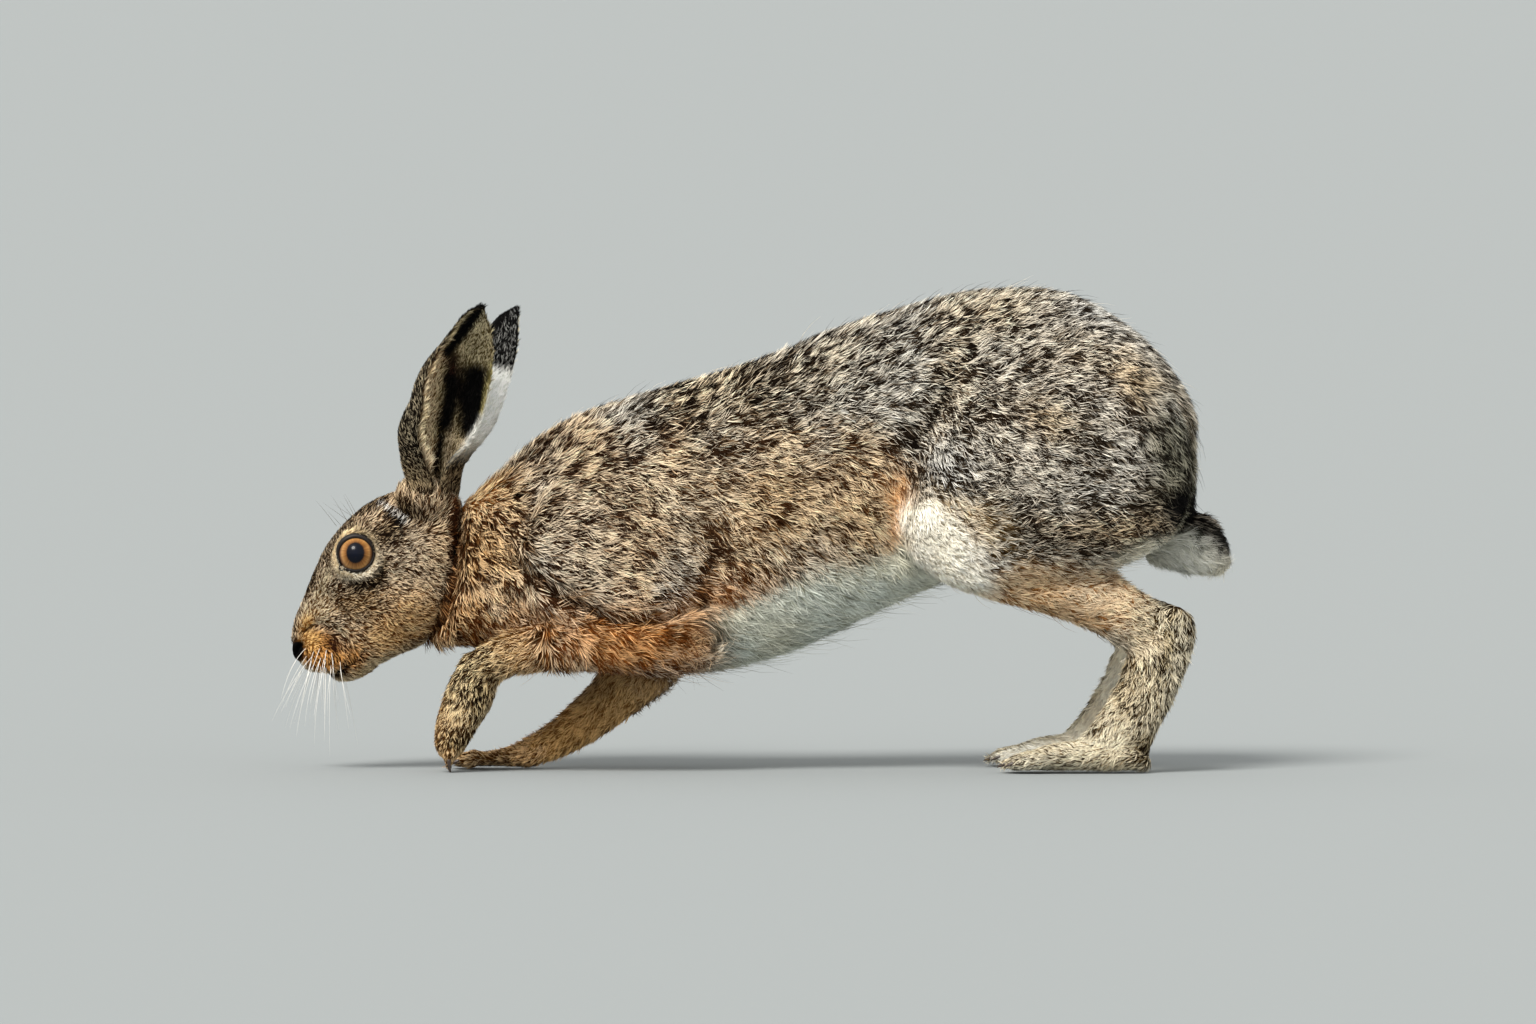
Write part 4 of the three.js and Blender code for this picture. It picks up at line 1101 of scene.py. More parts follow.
def tufts(name, points, faces, fields, slot, seed, locks, keep=None, lift=1.0, own=0.36):
    # roots are drawn over the skin by area and spacing; each tuft is a blade that leaves the skin along
    # the lie, rises to the coat's depth and is drawn towards the nearest leader, so that neighbours
    # gather in locks
    draw = np.random.default_rng(seed)
    dense = fields["dense"][faces].mean(1)[:, 0]
    if keep is not None:
        dense = dense * keep[faces].mean(1)
    weight = faceAreas(points, faces) * dense
    count = int(weight.sum())
    chosen = drawnFaces(draw, weight, count)
    u, v = draw.random((2, count))
    over = u + v > 1
    u[over], v[over] = 1 - u[over], 1 - v[over]
    share = np.stack([1 - u - v, u, v], 1)[:, :, None]
    corner = faces[chosen]

    def read(values):
        # at the roots
        return (values[corner] * share).sum(1)

    def varied(key, lock):
        # least + tuft * random + shared * (the lock's luck - 0.5)
        least, tuft, shared = coatLook[key]
        return least + tuft * draw.random((count, 1)) + shared * (lock - 0.5)

    root, normal, lie = read(points), unit(read(fields["normal"])), unit(read(fields["lie"]))
    leader, luck = nearestLeader(root, locks, seed + 5)
    jitter = draw.normal(0, 1, (count, 3))
    sway = cloud(root, 20, 41)[:, None] + 0.6 * cloud(root, 9, 42)[:, None]
    side = unit(np.cross(lie, normal))
    turn = coatLook["stray"] * jitter[:, :1] + coatLook["lockTurn"] * (luck[:, :1] - 0.5)
    turn = turn + coatLook["sway"] * sway
    lie = unit(lie + side * turn)
    side = unit(np.cross(lie, normal))
    long = read(fields["long"]) * varied("long", luck[:, 1:2])
    deep = read(fields["depth"]) * varied("deep", luck[:, 2:3]) * lift
    wide = read(fields["wide"]) * varied("wide", luck[:, 2:3])
    tilt = np.arcsin(np.clip(deep / long, *coatLook["tilt"]))
    pull = leader - root
    pull = pull - normal * (pull * normal).sum(1, keepdims=True)
    rolled = coatLook["roll"] * jitter[:, 1:2]
    roll = side * np.cos(rolled) + normal * np.sin(rolled)
    bend = read(fields["bend"]) if "bend" in fields else 0
    curl = coatLook["curl"] * (luck[:, 1:2] - luck[:, 2:3]) + coatLook["tuftCurl"] * jitter[:, 2:]
    shares = np.array([0, 0.5, 1])
    rows = []
    for s in shares:
        steep = tilt * (coatLook["steep"][0] - coatLook["steep"][1] * s)
        on = lie * np.cos(steep) + normal * np.sin(steep)
        at = root + on * long * s + pull * coatLook["clump"] * s**1.5 - normal * coatLook["rooted"] * (1 - s)
        at = at + side * curl * long * s**2 - normal * bend * (long * s) ** 2 / 2
        half = roll * wide * (coatLook["half"][0] + coatLook["half"][1] * math.sin(math.pi * s))
        rows += [at] if s == 1 else [at - half, at + half]
    verts = np.stack(rows, 1)
    verts[..., 2] = np.maximum(verts[..., 2], coatLook["floor"])
    per = verts.shape[1]
    blade = np.array([[0, 1, 3], [0, 3, 2], [2, 3, 4]])
    bladeFaces = ((np.arange(count) * per)[:, None, None] + blade[None]).reshape(-1, 3)
    piece = makePiece(name, verts.reshape(-1, 3), bladeFaces, hairMaterial, slot)
    fromLeader = np.linalg.norm(pull, axis=1) / locks
    carryColour(piece, banded(read(fields["coat"]), shares, luck, draw, root, fromLeader, own).reshape(-1, 3))
    bakePatch(piece, read(fields["place"]), fields["part"][corner[:, 0]], blade, per)
    print(name, len(bladeFaces), "triangles")


def banded(coat, shares, luck, draw, root, fromLeader, own):
    # from root to tip: root colour, dark band, then the bright band on the lucky tufts and dark to the
    # end on others, blended as dark ** (1 - bright) * pale ** bright; the bright ones gather at the
    # middle of a lock and the dark ones at its edge, as painted shade in the gaps between locks
    bright, dark, base, likely = coat[:, None, 0:3], coat[:, None, 3:6], coat[:, None, 6:9], coat[:, 9]
    drawn = own * draw.random(len(coat)) + (1 - own) * luck[:, 0] + bands["lockGapShade"] * (fromLeader - 0.4)
    drawn = drawn + bands["coarse"] * cloud(root * np.array([0.6, 1, 1]), 9, 57)
    drawn = drawn + bands["fine"] * cloud(root, 4.5, 58)
    isBright = smooth(-bands["choice"], bands["choice"], likely - drawn)[:, None, None]
    s = shares[None, :, None]
    pale = base + (dark - base) * smooth(*bands["dark"], s)
    pale = pale + (bright - pale) * smooth(*bands["bright"], s)
    # painted shade: the roots of the dark tufts are darkened
    rootShade = base * bands["rootShade"]
    deepHair = rootShade + (dark - rootShade) * smooth(*bands["deepDark"], s)
    colours = deepHair ** (1 - isBright) * pale**isBright
    gain = 1 + bands["tuftLight"] * (draw.random((len(coat), 1, 1)) - 0.5)
    gain = gain + bands["lockLight"] * (luck[:, None, 1:2] - 0.5)
    gain = gain + bands["coatLight"] * cloud(root, 9, 31)[:, None, None]
    warmth = bands["warmth"] * cloud(root, 24, 71)[:, None, None] * np.array([1, 0, -1.4])
    colours = colours * gain * (1 + warmth)
    return colours[:, np.repeat(np.arange(len(shares)), [2] * (len(shares) - 1) + [1])]


def bakePatch(piece, place, cell, blade, per):
    # every blade is a small patch at its root's place on its part's own unwrap: around, then along; parts
    # that share a piece lie side by side
    half = coatLook["patch"] / 2
    local = np.zeros((per, 2))
    local[0 : per - 1 : 2, 0], local[1 : per - 1 : 2, 0] = -half, half
    levels = np.linspace(-half, half, (per + 1) // 2)
    local[:, 1] = np.append(np.repeat(levels[:-1], 2), half)
    kept, column = np.unique(cell, return_inverse=True)
    low, high = place[:, 1].min(), place[:, 1].max()
    around = (column + 0.02 + 0.96 * place[:, 0]) / len(kept)
    along = 0.01 + 0.98 * (place[:, 1] - low) / max(high - low, 1e-6)
    uv = np.stack([around, along], 1)[:, None] + local[None]
    layer = piece.data.uv_layers.new(name="OFBake")
    layer.data.foreach_set("uv", uv[:, blade.ravel()].reshape(-1).astype(np.float32))


def chosenParts(*names):
    # 1 at the points of the body that belong to the named parts
    wanted = [i for i, name in enumerate(bodyNames) if name.startswith(names)]
    return np.isin(bodyFields["part"], wanted).astype(float)


onTrunk = chosenParts("trunk")
bodyX = bodyPoints[:, 0]
# Pieces of the coat: where each grows, slot, size of its locks, how high it stands, and each tuft's own
# share in whether it is bright, where the rest is its lock's
coatPieces = [
    ["coatNeck", onTrunk * (bodyX < -118), "neck_coat", 1.8, 1, 0.36],
    ["coatChest", onTrunk * (bodyX >= -118) * (bodyX < -20), "flank_coat", 2.1, 1, 0.36],
    ["coatLoin", onTrunk * (bodyX >= -20) * (bodyX < 70), "back_coat", 2.1, 1, 0.36],
    ["coatBack", onTrunk * (bodyX >= 70) * (bodyX < 140), "back_coat", 2.1, 1, 0.36],
    ["coatRump", onTrunk * (bodyX >= 140), "back_coat", 2.1, 1, 0.36],
    ["coatThighLeft", chosenParts("thighLeft"), "thigh_coat", 2.0, 1, 0.36],
    ["coatThighRight", chosenParts("thighRight"), "thigh_coat", 2.0, 1, 0.36],
    ["coatShoulders", chosenParts("arm"), "flank_coat", 2.0, 1, 0.36],
    ["coatForelegs", chosenParts("forearm", "forepaw"), "limb_coat", 1.2, 1, 0.5],
    ["coatHindlegs", chosenParts("shank", "foot", "hindpaw"), "limb_coat", 1.2, 1, 0.5],
    ["coatTail", chosenParts("tail"), "tail_coat", 2.6, 1.4, 0.36],
]
for number, (name, keep, slot, locks, lift, own) in enumerate(coatPieces):
    tufts(name, bodyPoints, bodyFaces, bodyFields, slot, 100 + number, locks, keep, lift, own)
rightHalf = smooth(-0.5, 0.5, headPoints[:, 1])
tufts("coatHeadLeft", headPoints, headFaces, headFields, "face_coat", 201, 1.1, 1 - rightHalf, 1, 0.62)
tufts("coatHeadRight", headPoints, headFaces, headFields, "face_coat", 202, 1.1, rightHalf, 1, 0.62)

# Ears: a leaf rolled into a tube at its root and open like a trough above. Stations: x and z of the
# midline, half width, wrap of each side in degrees, depth as a share of the half width
earStations = [
    [-177, 146, 13.2, 168, 0.9], [-175.7, 154, 12.4, 165, 0.8], [-175.8, 165, 15.5, 150, 0.7],
    [-173.1, 178, 20.8, 130, 0.6], [-166.8, 190, 22, 116, 0.6], [-162, 204, 22.1, 104, 0.6],
    [-156.6, 217, 19.2, 92, 0.6], [-153.1, 229, 14.8, 78, 0.6], [-150.7, 239, 9.4, 62, 0.7],
    [-147.5, 246.5, 2.4, 48, 0.9],
]
# How far each ear is splayed, opened and tipped back, in radians, set ahead and stretched; the wall of
# the solid, the share of it that the shell takes and what the coat takes off the outside; the ear's hair,
# and what its front edge and its root add to that
ears = {
    "Left": {"side": left, "splay": 0.1, "open": 0.6, "back": 0, "ahead": 0, "tall": 1, "seed": 301},
    "Right": {
        "side": right, "splay": 0.08, "open": 0.9, "back": 0.125, "ahead": 4.5, "tall": 1.022, "seed": 302,
    },
}
earAside = 14.5
earWall = {"base": 4.2, "tip": 1.6, "share": 0.8, "coat": 0.35, "rings": 110, "steps": 36}
earHair = {
    "depth": 0.9, "fringeDepth": 1.6, "rootDepth": 0.8, "long": 3.6, "fringeLong": 4.2, "rootLong": 2,
    "wide": 0.38, "dense": 2.5, "fringeDense": 1.1, "locks": 0.9, "own": 0.7, "across": 0.9,
}
earHinge = np.array([-178.0, 0, 146])
earPatches = [["earOlive", -150, 228, 8, 18, 20, 0.6], ["earBrown", -158.5, 197, 8, 18, 12, 0.7]]
earStrokes = [
    ["earTan", [(-170, 221), (-174.5, 205), (-177, 186), (-176.5, 168), (-174.5, 154)], 5, 0.7],
    ["earRed", [(-163, 216), (-164.5, 204)], 4.6, 0.9],
    ["earLight", [(-165, 181), (-165.5, 170), (-166, 158)], 3.8, 0.9],
    ["earLight", [(-157, 170), (-162, 158)], 5, 0.9],
    ["black", [(-148.5, 245), (-158, 232.5), (-166.5, 221)], 4, 0.5],
    # dark skin inside the ear, darkened further as painted shade of its hollow
    ["black", [(-151, 206), (-152.5, 194)], 8, 0.5],
    ["black", [(-151.5, 194), (-155.5, 180)], 7, 0.6],
    ["black", [(-163.5, 204), (-165, 192), (-167.5, 182)], 5.4, 0.6],
    ["black", [(-168.5, 183), (-170.3, 170), (-171.8, 156)], 2.4, 0.7],
    ["earEdge", [(-141.5, 216), (-143.6, 206), (-147.5, 187)], 1.3, 0.9],
    ["snow", [(-147, 184), (-152, 176), (-158, 168)], 2.4, 0.8],
]


def turnedAbout(vectors, axis, angle):
    # Rodrigues: v cos a + (axis x v) sin a + axis (axis . v)(1 - cos a)
    c, s = math.cos(angle), math.sin(angle)
    along = (axis * vectors).sum(-1, keepdims=True)
    return vectors * c + np.cross(axis, vectors) * s + axis * along * (1 - c)


def earGrids(ear):
    # at each ring an arc about a middle set out from the midline: -outward * deep * cos a + across *
    # reach * sin a; the outer grid is thinned by the coat, the inner one by a share of the wall, both
    # less towards their edges
    t = np.linspace(0, 1, earWall["rings"])
    rows = curveThrough(earStations, t)
    nudge = 1e-3
    ahead, behind = curveThrough(earStations, t + nudge), curveThrough(earStations, t - nudge)
    rise = unit(np.stack([ahead[:, 0] - behind[:, 0], 0 * t, ahead[:, 1] - behind[:, 1]], 1))
    across = turnedAbout(np.stack([rise[:, 2], 0 * t, -rise[:, 0]], 1), rise, ear["open"])
    outward = turnedAbout(np.tile([0.0, -1, 0], (len(t), 1)), rise, ear["open"])
    half, wrap, depth = rows[:, 2], np.radians(rows[:, 3]), rows[:, 4]
    radius = half / np.sin(np.minimum(wrap, np.pi / 2))
    middle = np.stack([rows[:, 0], 0 * t, rows[:, 1]], 1)
    middle = middle + outward * (radius * depth * np.maximum(0, np.cos(wrap)))[:, None]
    share = np.linspace(-1, 1, earWall["steps"])
    angle = wrap[:, None] * share[None]
    wall = earWall["base"] + (earWall["tip"] - earWall["base"]) * t**0.8
    radius, depth = radius[:, None], depth[:, None]
    grids = []
    for taken in (earWall["coat"] + 0 * t, wall * earWall["share"]):
        taken = taken[:, None] * (1 - 0.5 * np.abs(share[None]) ** 4)
        reach = np.maximum(0.3 * radius, radius - taken)
        deep = np.maximum(0.3 * radius * depth, radius * depth - taken)
        grid = middle[:, None] - outward[:, None] * (deep * np.cos(angle))[..., None]
        grids.append(grid + across[:, None] * (reach * np.sin(angle))[..., None])
    return grids, across, share, t


def earPlaced(points, ear):
    # stretched, tipped back about Y and splayed about X, all about the hinge, then set out from the crown
    p = (points - earHinge) * ear["tall"]
    p = turnedAbout(p, np.array([0.0, 1, 0]), ear["back"])
    p = turnedAbout(p, np.array([1.0, 0, 0]), ear["splay"])
    p = p + earHinge + np.array([ear["ahead"], -earAside, 0])
    p[..., 1] *= -ear["side"]
    return p


def earCoat(flat, around, isInner):
    # snow down the back of the outside with a black tip over it; inside, olive with its patches and
    # strokes; around runs from -1 at the front edge to 1 at the rear one
    wander = cloud(flat, 6, 5) * 0.22 + cloud(flat, 2.5, 6) * 0.15
    z = flat[:, 2]
    outer = patched(flat, "earGrizzle", [], wander)
    outer = toward(outer, "snow", smooth(-0.35, 0.0, around + 0.12 * wander) * smooth(158, 176, z))
    outer = toward(outer, "earRoot", smooth(172, 154, z + 6 * wander))
    outer = toward(outer, "ink", smooth(210, 215, z + 5 * wander) * smooth(-0.6, -0.2, around))
    outer = toward(outer, "black", smooth(222, 236, z + 5 * wander) * smooth(0.3, 0.0, around))
    inner = patched(flat, "earOlive", earPatches, wander, earStrokes)
    inner = toward(inner, "earRoot", smooth(164, 152, z))
    return outer + (inner - outer) * isInner[:, None]


def makeEar(name, ear):
    # the outer and the inner grid side by side make one closed shell; its tufts run from root to tip, and
    # those of the front edge across it
    (outer, inner), across, share, t = earGrids(ear)
    grid = np.concatenate([outer, inner[:, ::-1]], 1)
    flat, faces = closedGrid(grid)
    placed = earPlaced(flat, ear)
    faces = facedOut(placed, faces)
    normals = normalsOf(placed, faces)
    rings, columns = grid.shape[:2]

    def spread(values):
        # values of the grid's points, then of the two points that close it
        values = np.broadcast_to(values, (rings, columns, *values.shape[2:]))
        return np.concatenate([values.reshape(-1, *values.shape[2:]), values[0, :1], values[-1, :1]])

    isInner = spread(np.repeat([0.0, 1.0], len(share))[None])
    around = spread(np.concatenate([share, share[::-1]])[None])
    along = spread(t[:, None])
    coat = earCoat(flat, around, isInner)
    fringe = isInner * smooth(-0.55, -0.95, around) * smooth(0.08, 0.2, along) * smooth(0.86, 0.7, along)
    root = smooth(0.12, 0.0, along)
    grain = unit(spread(np.gradient(grid, axis=0)))
    grain = grain + spread(across[:, None]) * (earHair["across"] * fringe)[:, None]
    lie = earPlaced(flat + unit(grain), ear) - placed
    fields = {
        "normal": normals, "lie": unit(lie - normals * (lie * normals).sum(1, keepdims=True)), "coat": coat,
        "depth": earHair["depth"] + earHair["fringeDepth"] * fringe + earHair["rootDepth"] * root,
        "long": earHair["long"] + earHair["fringeLong"] * fringe + earHair["rootLong"] * root,
        "wide": earHair["wide"] + 0 * along, "dense": earHair["dense"] + earHair["fringeDense"] * fringe,
        "place": np.stack([(around + 1) / 2, along], 1), "part": isInner.astype(int),
    }
    for key in ("depth", "long", "wide", "dense"):
        fields[key] = fields[key][:, None]
    shell = makePiece("ear" + name, placed, faces, skinMaterial, "ear_coat", ["ear_" + name.lower()])
    carryColour(shell, underCoat(coat))
    locks, own = earHair["locks"], earHair["own"]
    tufts("coatEar" + name, placed, faces, fields, "ear_coat", ear["seed"], locks, own=own)


for name, ear in ears.items():
    makeEar(name, ear)


# Eyes: a globe with a raised cornea; its disc attribute is the place across the eye, as shares of the
# radius. The stops run from the middle of the pupil over the iris to the dark rim.
iris = {
    "gloss": 0.06, "wet": 0.22, "fibres": 9, "wobble": 0.05,
    "stops": [
        # the pupil's dark blue is a painted reflection of the sky
        (0.0, (3, 8, 26)), (0.45, (4, 6, 18)), (0.48, (30, 16, 10)), (0.53, (108, 70, 34)),
        (0.63, (142, 97, 50)), (0.75, (168, 124, 74)), (0.83, (124, 88, 58)), (0.9, (54, 38, 32)),
        (0.95, (16, 12, 12)),
    ],
}


def eyeAxes(side):
    # ahead and up across the eye, and its axis
    axis = eyeDirection(side)
    ahead = unit(np.cross([0, 0, 1.0], axis))
    return ahead, np.cross(axis, ahead), axis


def makeEyeMaterial():
    # a ramp over the distance from the middle of the disc: pupil, iris and dark rim; its fibres are noise
    # read by direction only
    material, shader, tree = nodeMaterial("amber eye", 0.3, 0.08)
    shader.inputs["Coat Weight"].default_value = iris["wet"]
    shader.inputs["Coat Roughness"].default_value = iris["gloss"]
    disc = carriedBy(tree, "disc").outputs["Vector"]
    ray = addNode(tree, "VectorMath", {0: disc}, "NORMALIZE").outputs["Vector"]
    noise = addNode(tree, "TexNoise", {"Vector": ray, "Scale": iris["fibres"], "Detail": 6}).outputs["Fac"]
    far = addNode(tree, "VectorMath", {0: disc}, "LENGTH").outputs["Value"]
    wobble = addNode(tree, "Math", {0: noise, 1: iris["wobble"], 2: far}, "MULTIPLY_ADD")
    ramp = addNode(tree, "ValToRGB", {"Fac": wobble.outputs["Value"]})
    while len(ramp.color_ramp.elements) < len(iris["stops"]):
        ramp.color_ramp.elements.new(0.5)
    for element, (place, colour) in zip(ramp.color_ramp.elements, iris["stops"]):
        element.position = place
        element.color = (*tone(*colour), 1)
    limits = {"From Min": 0.3, "From Max": 0.7, "To Min": 0.7, "To Max": 1.25}
    fibre = addNode(tree, "MapRange", {"Value": noise, **limits}).outputs["Result"]
    scaled = addNode(tree, "VectorMath", {0: ramp.outputs["Color"], "Scale": fibre}, "SCALE")
    tree.links.new(scaled.outputs["Vector"], shader.inputs["Base Color"])
    return material


def makeEye(name, side, material):
    # radius + cornea * cos(angle) ** 6 in front, as a grid of polar angle and turn
    rings, around, pole = 70, 72, 0.004
    angle = np.linspace(pole, np.pi - pole, rings)
    turn = np.linspace(0, 2 * np.pi, around, endpoint=False)
    radius = eye["radius"] + eye["cornea"] * np.maximum(np.cos(angle), 0) ** 6
    ahead, up, axis = eyeAxes(side)
    flatX = (radius * np.sin(angle))[:, None] * np.cos(turn)[None]
    flatY = (radius * np.sin(angle))[:, None] * np.sin(turn)[None]
    deep = (radius * np.cos(angle))[:, None] + 0 * flatX
    grid = flatX[..., None] * ahead + flatY[..., None] * up + deep[..., None] * axis
    points, faces = closedGrid(grid + eyeMiddle(side))
    node = "eye_" + name.lower()
    piece = makePiece("eye" + name, points, facedOut(points, faces), material, "eye", [node])
    behind = 2.0 * (deep < 0)
    disc = np.stack([flatX / eye["radius"], flatY / eye["radius"] * eye["oval"], behind], -1).reshape(-1, 3)
    disc = np.concatenate([disc, [[0, 0, 0], [0, 0, 2]]])
    layer = piece.data.attributes.new("disc", "FLOAT_VECTOR", "POINT")
    layer.data.foreach_set("vector", disc.astype(np.float32).ravel())


# Lids: a dark rim round each eye, thicker above, drawn out at the front corner; it lies on a globe a
# little larger than the eye out to its edge, and falls away past that
rim = {
    "wide": 9.6, "tall": 9.2, "thick": 0.95, "over": 2.1, "flat": 0.8, "cornerTurn": 3.95, "cornerWide": 0.22,
    "corner": 0.22, "globe": 10.4, "edge": 9.9, "fall": 0.4,
}


def makeLids(name, side, material):
    # a tube along an oval across the eye, which is drawn out at one turn by corner * exp(-apart ** 2), where
    # apart = (turn - cornerTurn) / cornerWide
    rings, around = 120, 12
    turn = np.linspace(0, 2 * np.pi, rings, endpoint=False)
    ahead, up, axis = eyeAxes(side)
    toRear = ahead if ahead[0] > 0 else -ahead
    away = 1 + rim["corner"] * np.exp(-(((turn - rim["cornerTurn"]) / rim["cornerWide"]) ** 2))
    flat = np.stack([rim["wide"] * away * np.cos(turn), rim["tall"] * away * np.sin(turn)], 1)
    long = np.linalg.norm(flat, axis=1)
    deep = np.sqrt(np.maximum(rim["globe"] ** 2 - np.minimum(long, rim["edge"]) ** 2, 6))
    deep = deep - np.maximum(long - rim["edge"], 0) * rim["fall"]
    centre = flat[:, :1] * toRear + flat[:, 1:] * up + deep[:, None] * axis
    along = unit(np.roll(centre, -1, 0) - np.roll(centre, 1, 0))
    outward = unit(centre)
    across = np.cross(along, outward)
    thick = rim["thick"] * (1 + (rim["over"] - 1) * smooth(-0.2, 0.8, np.sin(turn)))
    roll = np.linspace(0, 2 * np.pi, around, endpoint=False)[None, :, None]
    tube = outward[:, None] * np.cos(roll) * rim["flat"] + across[:, None] * np.sin(roll)
    tube = centre[:, None] + thick[:, None, None] * tube + eyeMiddle(side)
    points = tube.reshape(-1, 3)
    makePiece("lids" + name, points, facedOut(points, gridFaces(rings, around, True)), material, "face_coat")


eyeMaterial = makeEyeMaterial()
for name, side in (("Left", left), ("Right", right)):
    makeEye(name, side, eyeMaterial)
lidMaterial = plainMaterial("lid skin", 0.5, 0.25, tone(20, 14, 12))
for name, side in (("Left", left), ("Right", right)):
    makeLids(name, side, lidMaterial)
print("ears and eyes done")

# Whiskers, brow hairs and guard hairs: three-sided tapered stems. The whiskers stand in rows on the pad,
# from the lip up, each row from front to rear.
whiskers = {
    "count": 22, "rows": 4, "base": 0.17, "seed": 401, "steps": 16, "x": -239.5, "y": 9.8, "z": 55.5,
    "pad": 15, "apart": 3.2, "shortest": 30, "longest": 62,
}
browHairs = {"count": 4, "from": -226, "to": -214, "z": 128, "slope": 0.55, "base": 0.1, "steps": 10}


def stems(name, roots, starts, ends, lengths, thick, colours, slot, steps):
    # root + length * (start * (s - s ** 2 / 2) + end * s ** 2 / 2), radius * (1 - 0.85 * s ** 1.3)
    s = np.linspace(0, 1, steps)[None, :, None]
    starts, ends = unit(starts)[:, None], unit(ends)[:, None]
    lengths = lengths[:, None, None]
    spine = roots[:, None] + lengths * (starts * (s - s**2 / 2) + ends * s**2 / 2)
    along = unit(starts * (1 - s) + ends * s)
    side = unit(np.cross(along, [0.3, 0.2, 0.93]))
    other = np.cross(along, side)
    radius = thick[:, None, None] * (1 - 0.85 * s**1.3)
    turns = [0, 2 * np.pi / 3, 4 * np.pi / 3]
    rings = np.stack([spine + radius * (side * math.cos(a) + other * math.sin(a)) for a in turns], 2)
    faces = gridFaces(steps, 3)[:, [0, 3, 2, 0, 2, 1]].reshape(-1, 3)
    last = (steps - 1) * 3
    faces = np.concatenate([faces, [[0, 2, 1], [last, last + 1, last + 2]]])
    faces = (np.arange(len(roots)) * steps * 3)[:, None, None] + faces[None]
    piece = makePiece(name, rings.reshape(-1, 3), faces.reshape(-1, 3), hairMaterial, slot)
    carryColour(piece, np.repeat(colours, steps * 3, 0))


def makeWhiskers():
    # start and end are the directions at root and tip; place is the share of the way along the row
    draw = np.random.default_rng(whiskers["seed"])
    count, rows = whiskers["count"], whiskers["rows"]
    brow = browHairs["count"]
    for name, side in (("Left", left), ("Right", right)):
        row, place = np.arange(count) % rows, np.arange(count) // rows / (count / rows - 1)
        x = whiskers["x"] + whiskers["pad"] * place + draw.normal(0, 0.6, count)
        z = whiskers["z"] + whiskers["apart"] * row + draw.normal(0, 0.5, count) + 1.5 * place
        y = whiskers["y"] + 3.4 * np.sin(np.pi * np.clip(place, 0, 1)) + draw.normal(0, 0.3, count)
        at = np.stack([x, side * y, z], 1)
        start = np.stack([-0.35 + 0.4 * place, side * (0.62 + 0 * x), -0.7 + 0.12 * row - 0.1 * place], 1)
        start = start + draw.normal(0, 0.09, (count, 3))
        end = np.stack([-0.4 + 0.55 * place + 0.03 * row, side * (0.2 + 0 * x), -0.95 + 0.06 * row], 1)
        end = end + draw.normal(0, 0.09, (count, 3))
        lengths = draw.uniform(whiskers["shortest"], whiskers["longest"], count) * (0.72 + 0.28 * place)
        thick = draw.uniform(0.6, 1, count) * whiskers["base"]
        pale = np.tile(tone(246, 244, 238), (count, 1))
        stems("whiskers" + name, at, start, end, lengths, thick, pale, "face_coat", whiskers["steps"])
        x = draw.uniform(browHairs["from"], browHairs["to"], brow)
        y = draw.uniform(15, 20, brow)
        at = np.stack([x, side * y, browHairs["z"] + (x - browHairs["from"]) * browHairs["slope"]], 1)
        start = np.array([-0.5, side * 0.45, 0.8]) + draw.normal(0, 0.2, (brow, 3))
        end = start + np.array([-0.2, side * 0.1, 0.1])
        lengths = draw.uniform(12, 24, brow)
        thick = np.full(brow, browHairs["base"])
        dark = np.tile(tone(70, 60, 48), (brow, 1))
        stems("browHairs" + name, at, start, end, lengths, thick, dark, "face_coat", browHairs["steps"])


makeWhiskers()


def guardHairs(name, keep, seed, count, slot, reach):
    # long single hairs that stand a little out of the coat
    draw = np.random.default_rng(seed)
    weight = faceAreas(bodyPoints, bodyFaces) * keep[bodyFaces].mean(1)
    corner = bodyFaces[drawnFaces(draw, weight, count), 0]
    normal, lie, coat, bend, deep, long = (
        bodyFields[key][corner] for key in ("normal", "lie", "coat", "bend", "depth", "long"))
    root = bodyPoints[corner] + draw.normal(0, 1, (count, 3))
    start = lie + normal * (0.6 + 0.15 * draw.normal(0, 1, (count, 1))) + 0.15 * draw.normal(0, 1, (count, 3))
    end = lie + normal * (0.1 - bend * 12) + 0.22 * draw.normal(0, 1, (count, 3))
    lengths = (long[:, 0] + deep[:, 0] * 0.5) * reach * draw.uniform(0.7, 1.15, count)
    pale = draw.random((count, 1)) < 0.55
    colours = np.where(pale, coat[:, 0:3], coat[:, 3:6])
    stems(name, root, start, end, lengths, draw.uniform(0.08, 0.15, count), colours, slot, 4)


guardHairs("guardHairsFront", (bodyX < 30) * (bodyPoints[:, 2] > 40), 501, 2900, "flank_coat", 1.1)
guardHairs("guardHairsRear", (bodyX >= 30) * (bodyPoints[:, 2] > 90), 502, 3100, "back_coat", 1.1)
below = (bodyX > -60) * (bodyX < 200) * (bodyFields["normal"][:, 2] < -0.2) * (bodyPoints[:, 2] > 46)
guardHairs("guardHairsBelow", below, 503, 1500, "flank_coat", 1.6)

# Claws: curved dark cones at the toes' ends, set a little wider than the toes
claw = {
    "long": 5.6, "thick": 1.25, "hook": 0.24, "out": 0.86, "wider": 1.5, "flat": 0.8, "tip": 0.05,
    "floor": 0.1, "rings": 12, "around": 10,
}


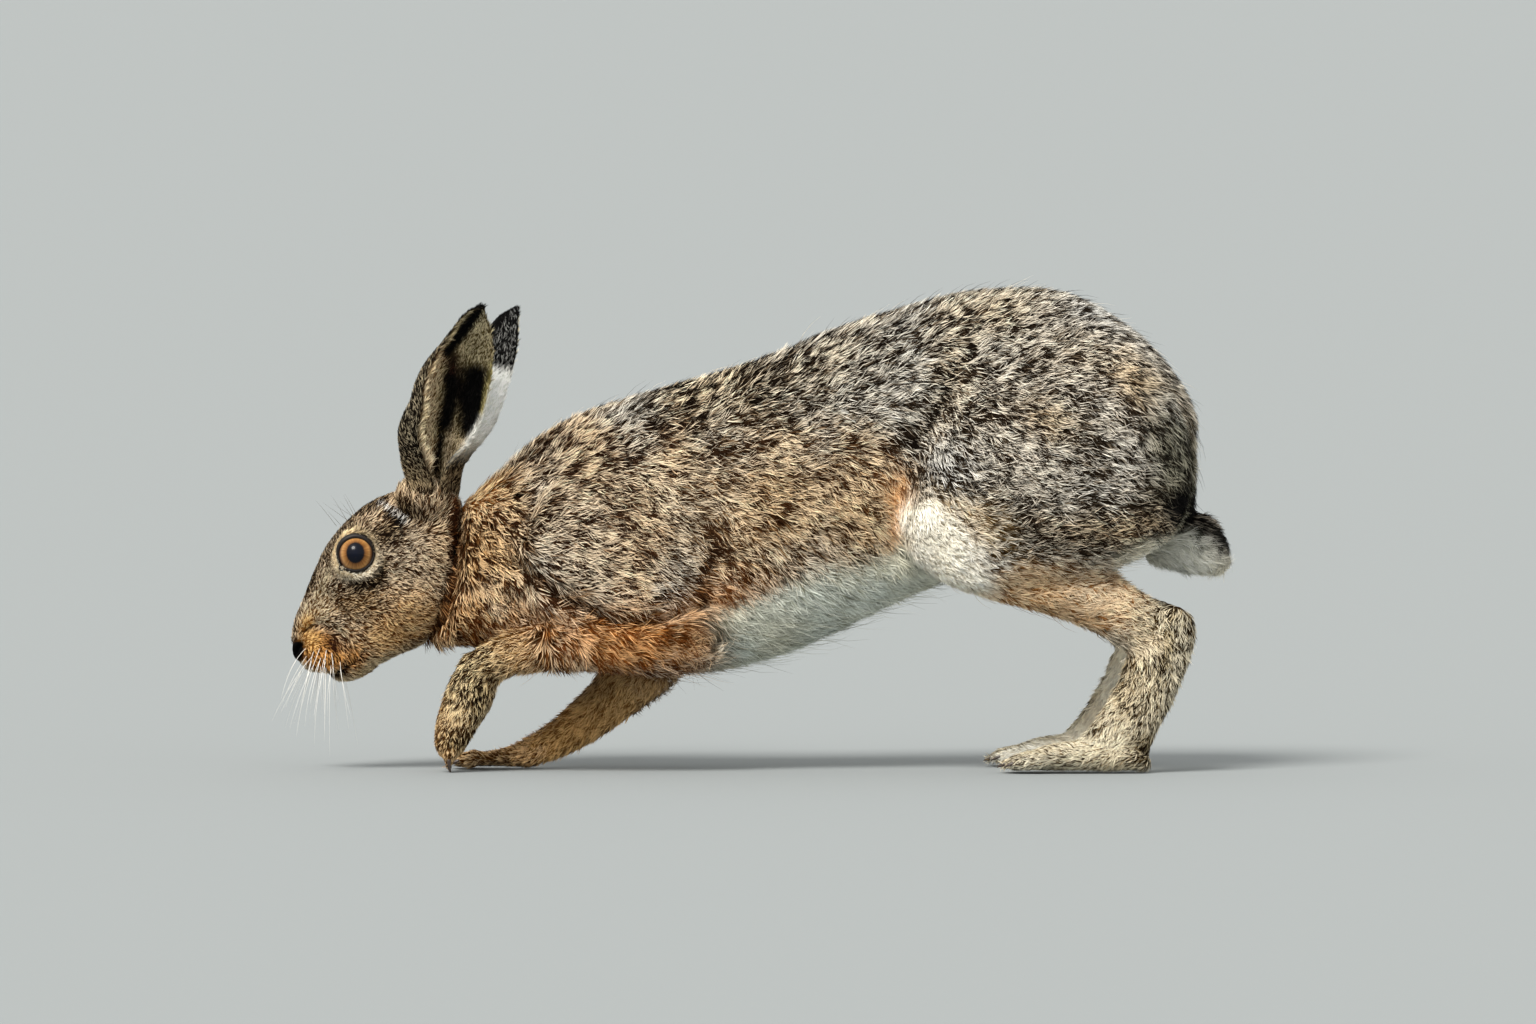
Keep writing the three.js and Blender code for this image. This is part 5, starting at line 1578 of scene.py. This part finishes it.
def makeClaws(name, toes, material):
    # spine = root + forward * long * s + down * long * hook * s ** 2, radius = thick * (1 - s) ** 0.7 + tip
    shells = []
    forward = unit(np.array(toes["forward"], float))
    down = np.array([1.0, 0, 0])
    if abs(forward[2]) < 0.9:
        down = unit(np.array([0, 0, -1.0]) - forward * -forward[2])
    side = unit(np.cross(forward, down))
    s = np.linspace(0, 1, claw["rings"])
    turn = np.linspace(0, 2 * np.pi, claw["around"], endpoint=False)[:, None]
    ring = side * np.cos(turn) * claw["flat"] + np.cross(side, forward) * np.sin(turn)
    radius = claw["thick"] * (1 - s) ** 0.7 + claw["tip"]
    for share in np.linspace(-1, 1, toeFan["count"]):
        reach = toes["long"] * (1 - toeFan["shorter"] * share**2)
        root = np.array(toes["at"], float) + np.array([0, share * (toes["spread"] + claw["wider"]), 0])
        root = root + forward * (reach * claw["out"] - toeFan["setBack"] * toes["long"] * share**2)
        spine = root + forward * (claw["long"] * s)[:, None]
        spine = spine + down * (claw["long"] * claw["hook"] * s**2)[:, None]
        grid = spine[:, None] + radius[:, None, None] * ring[None]
        grid[..., 2] = np.maximum(grid[..., 2], claw["floor"])
        shells.append(closedGrid(grid))
    makePiece(name, *joined(shells), material, "paw_coat")


clawMaterial = plainMaterial("horn of the claws", 0.35, 0.5, tone(58, 46, 38))
for pawName, toes in toeSets.items():
    makeClaws("claws" + pawName[0].upper() + pawName[1:], toes, clawMaterial)
print("whiskers, guard hairs and claws done")


# Stage and light
stage = {"size": 120, "colour": (0.262, 0.286, 0.296)}
light = {
    "sun": 4.1, "spread": 0.42, "from": (-0.45, -0.8, 1.1), "colour": (1.0, 0.95, 0.885), "sky": 0.96,
    "skyColour": (1.0, 0.985, 0.945),
}


def makeStage():
    # a flat floor in metres
    size = stage["size"]
    floorPoints = np.array([[-size, -size, 0], [size, -size, 0], [size, size, 0], [-size, size, 0]], float)
    floor = bpy.data.objects.new("floor", makeMesh("floor", floorPoints, [[0, 1, 2, 3]]))
    floor.data.materials.append(plainMaterial("pale floor", 0.95, 0.05, stage["colour"]))
    bpy.context.scene.collection.objects.link(floor)


def makeLights():
    # a soft sun above and ahead, on the hare's left, and an even sky
    data = bpy.data.lights.new("sun", "SUN")
    data.energy, data.angle, data.color = light["sun"], light["spread"], light["colour"]
    lamp = bpy.data.objects.new("sun", data)
    bpy.context.scene.collection.objects.link(lamp)
    away = unit(np.array(light["from"]))
    fall = math.atan2(math.hypot(away[0], away[1]), away[2])
    lamp.rotation_euler = (fall, 0, math.atan2(away[0], -away[1]))
    world = bpy.data.worlds.new("sky")
    world.use_nodes = True
    background = world.node_tree.nodes["Background"]
    background.inputs["Color"].default_value = (*light["skyColour"], 1)
    background.inputs["Strength"].default_value = light["sky"]
    bpy.context.scene.world = world


makeStage()
makeLights()
bpy.context.scene.view_settings.view_transform = "Standard"

print("done")
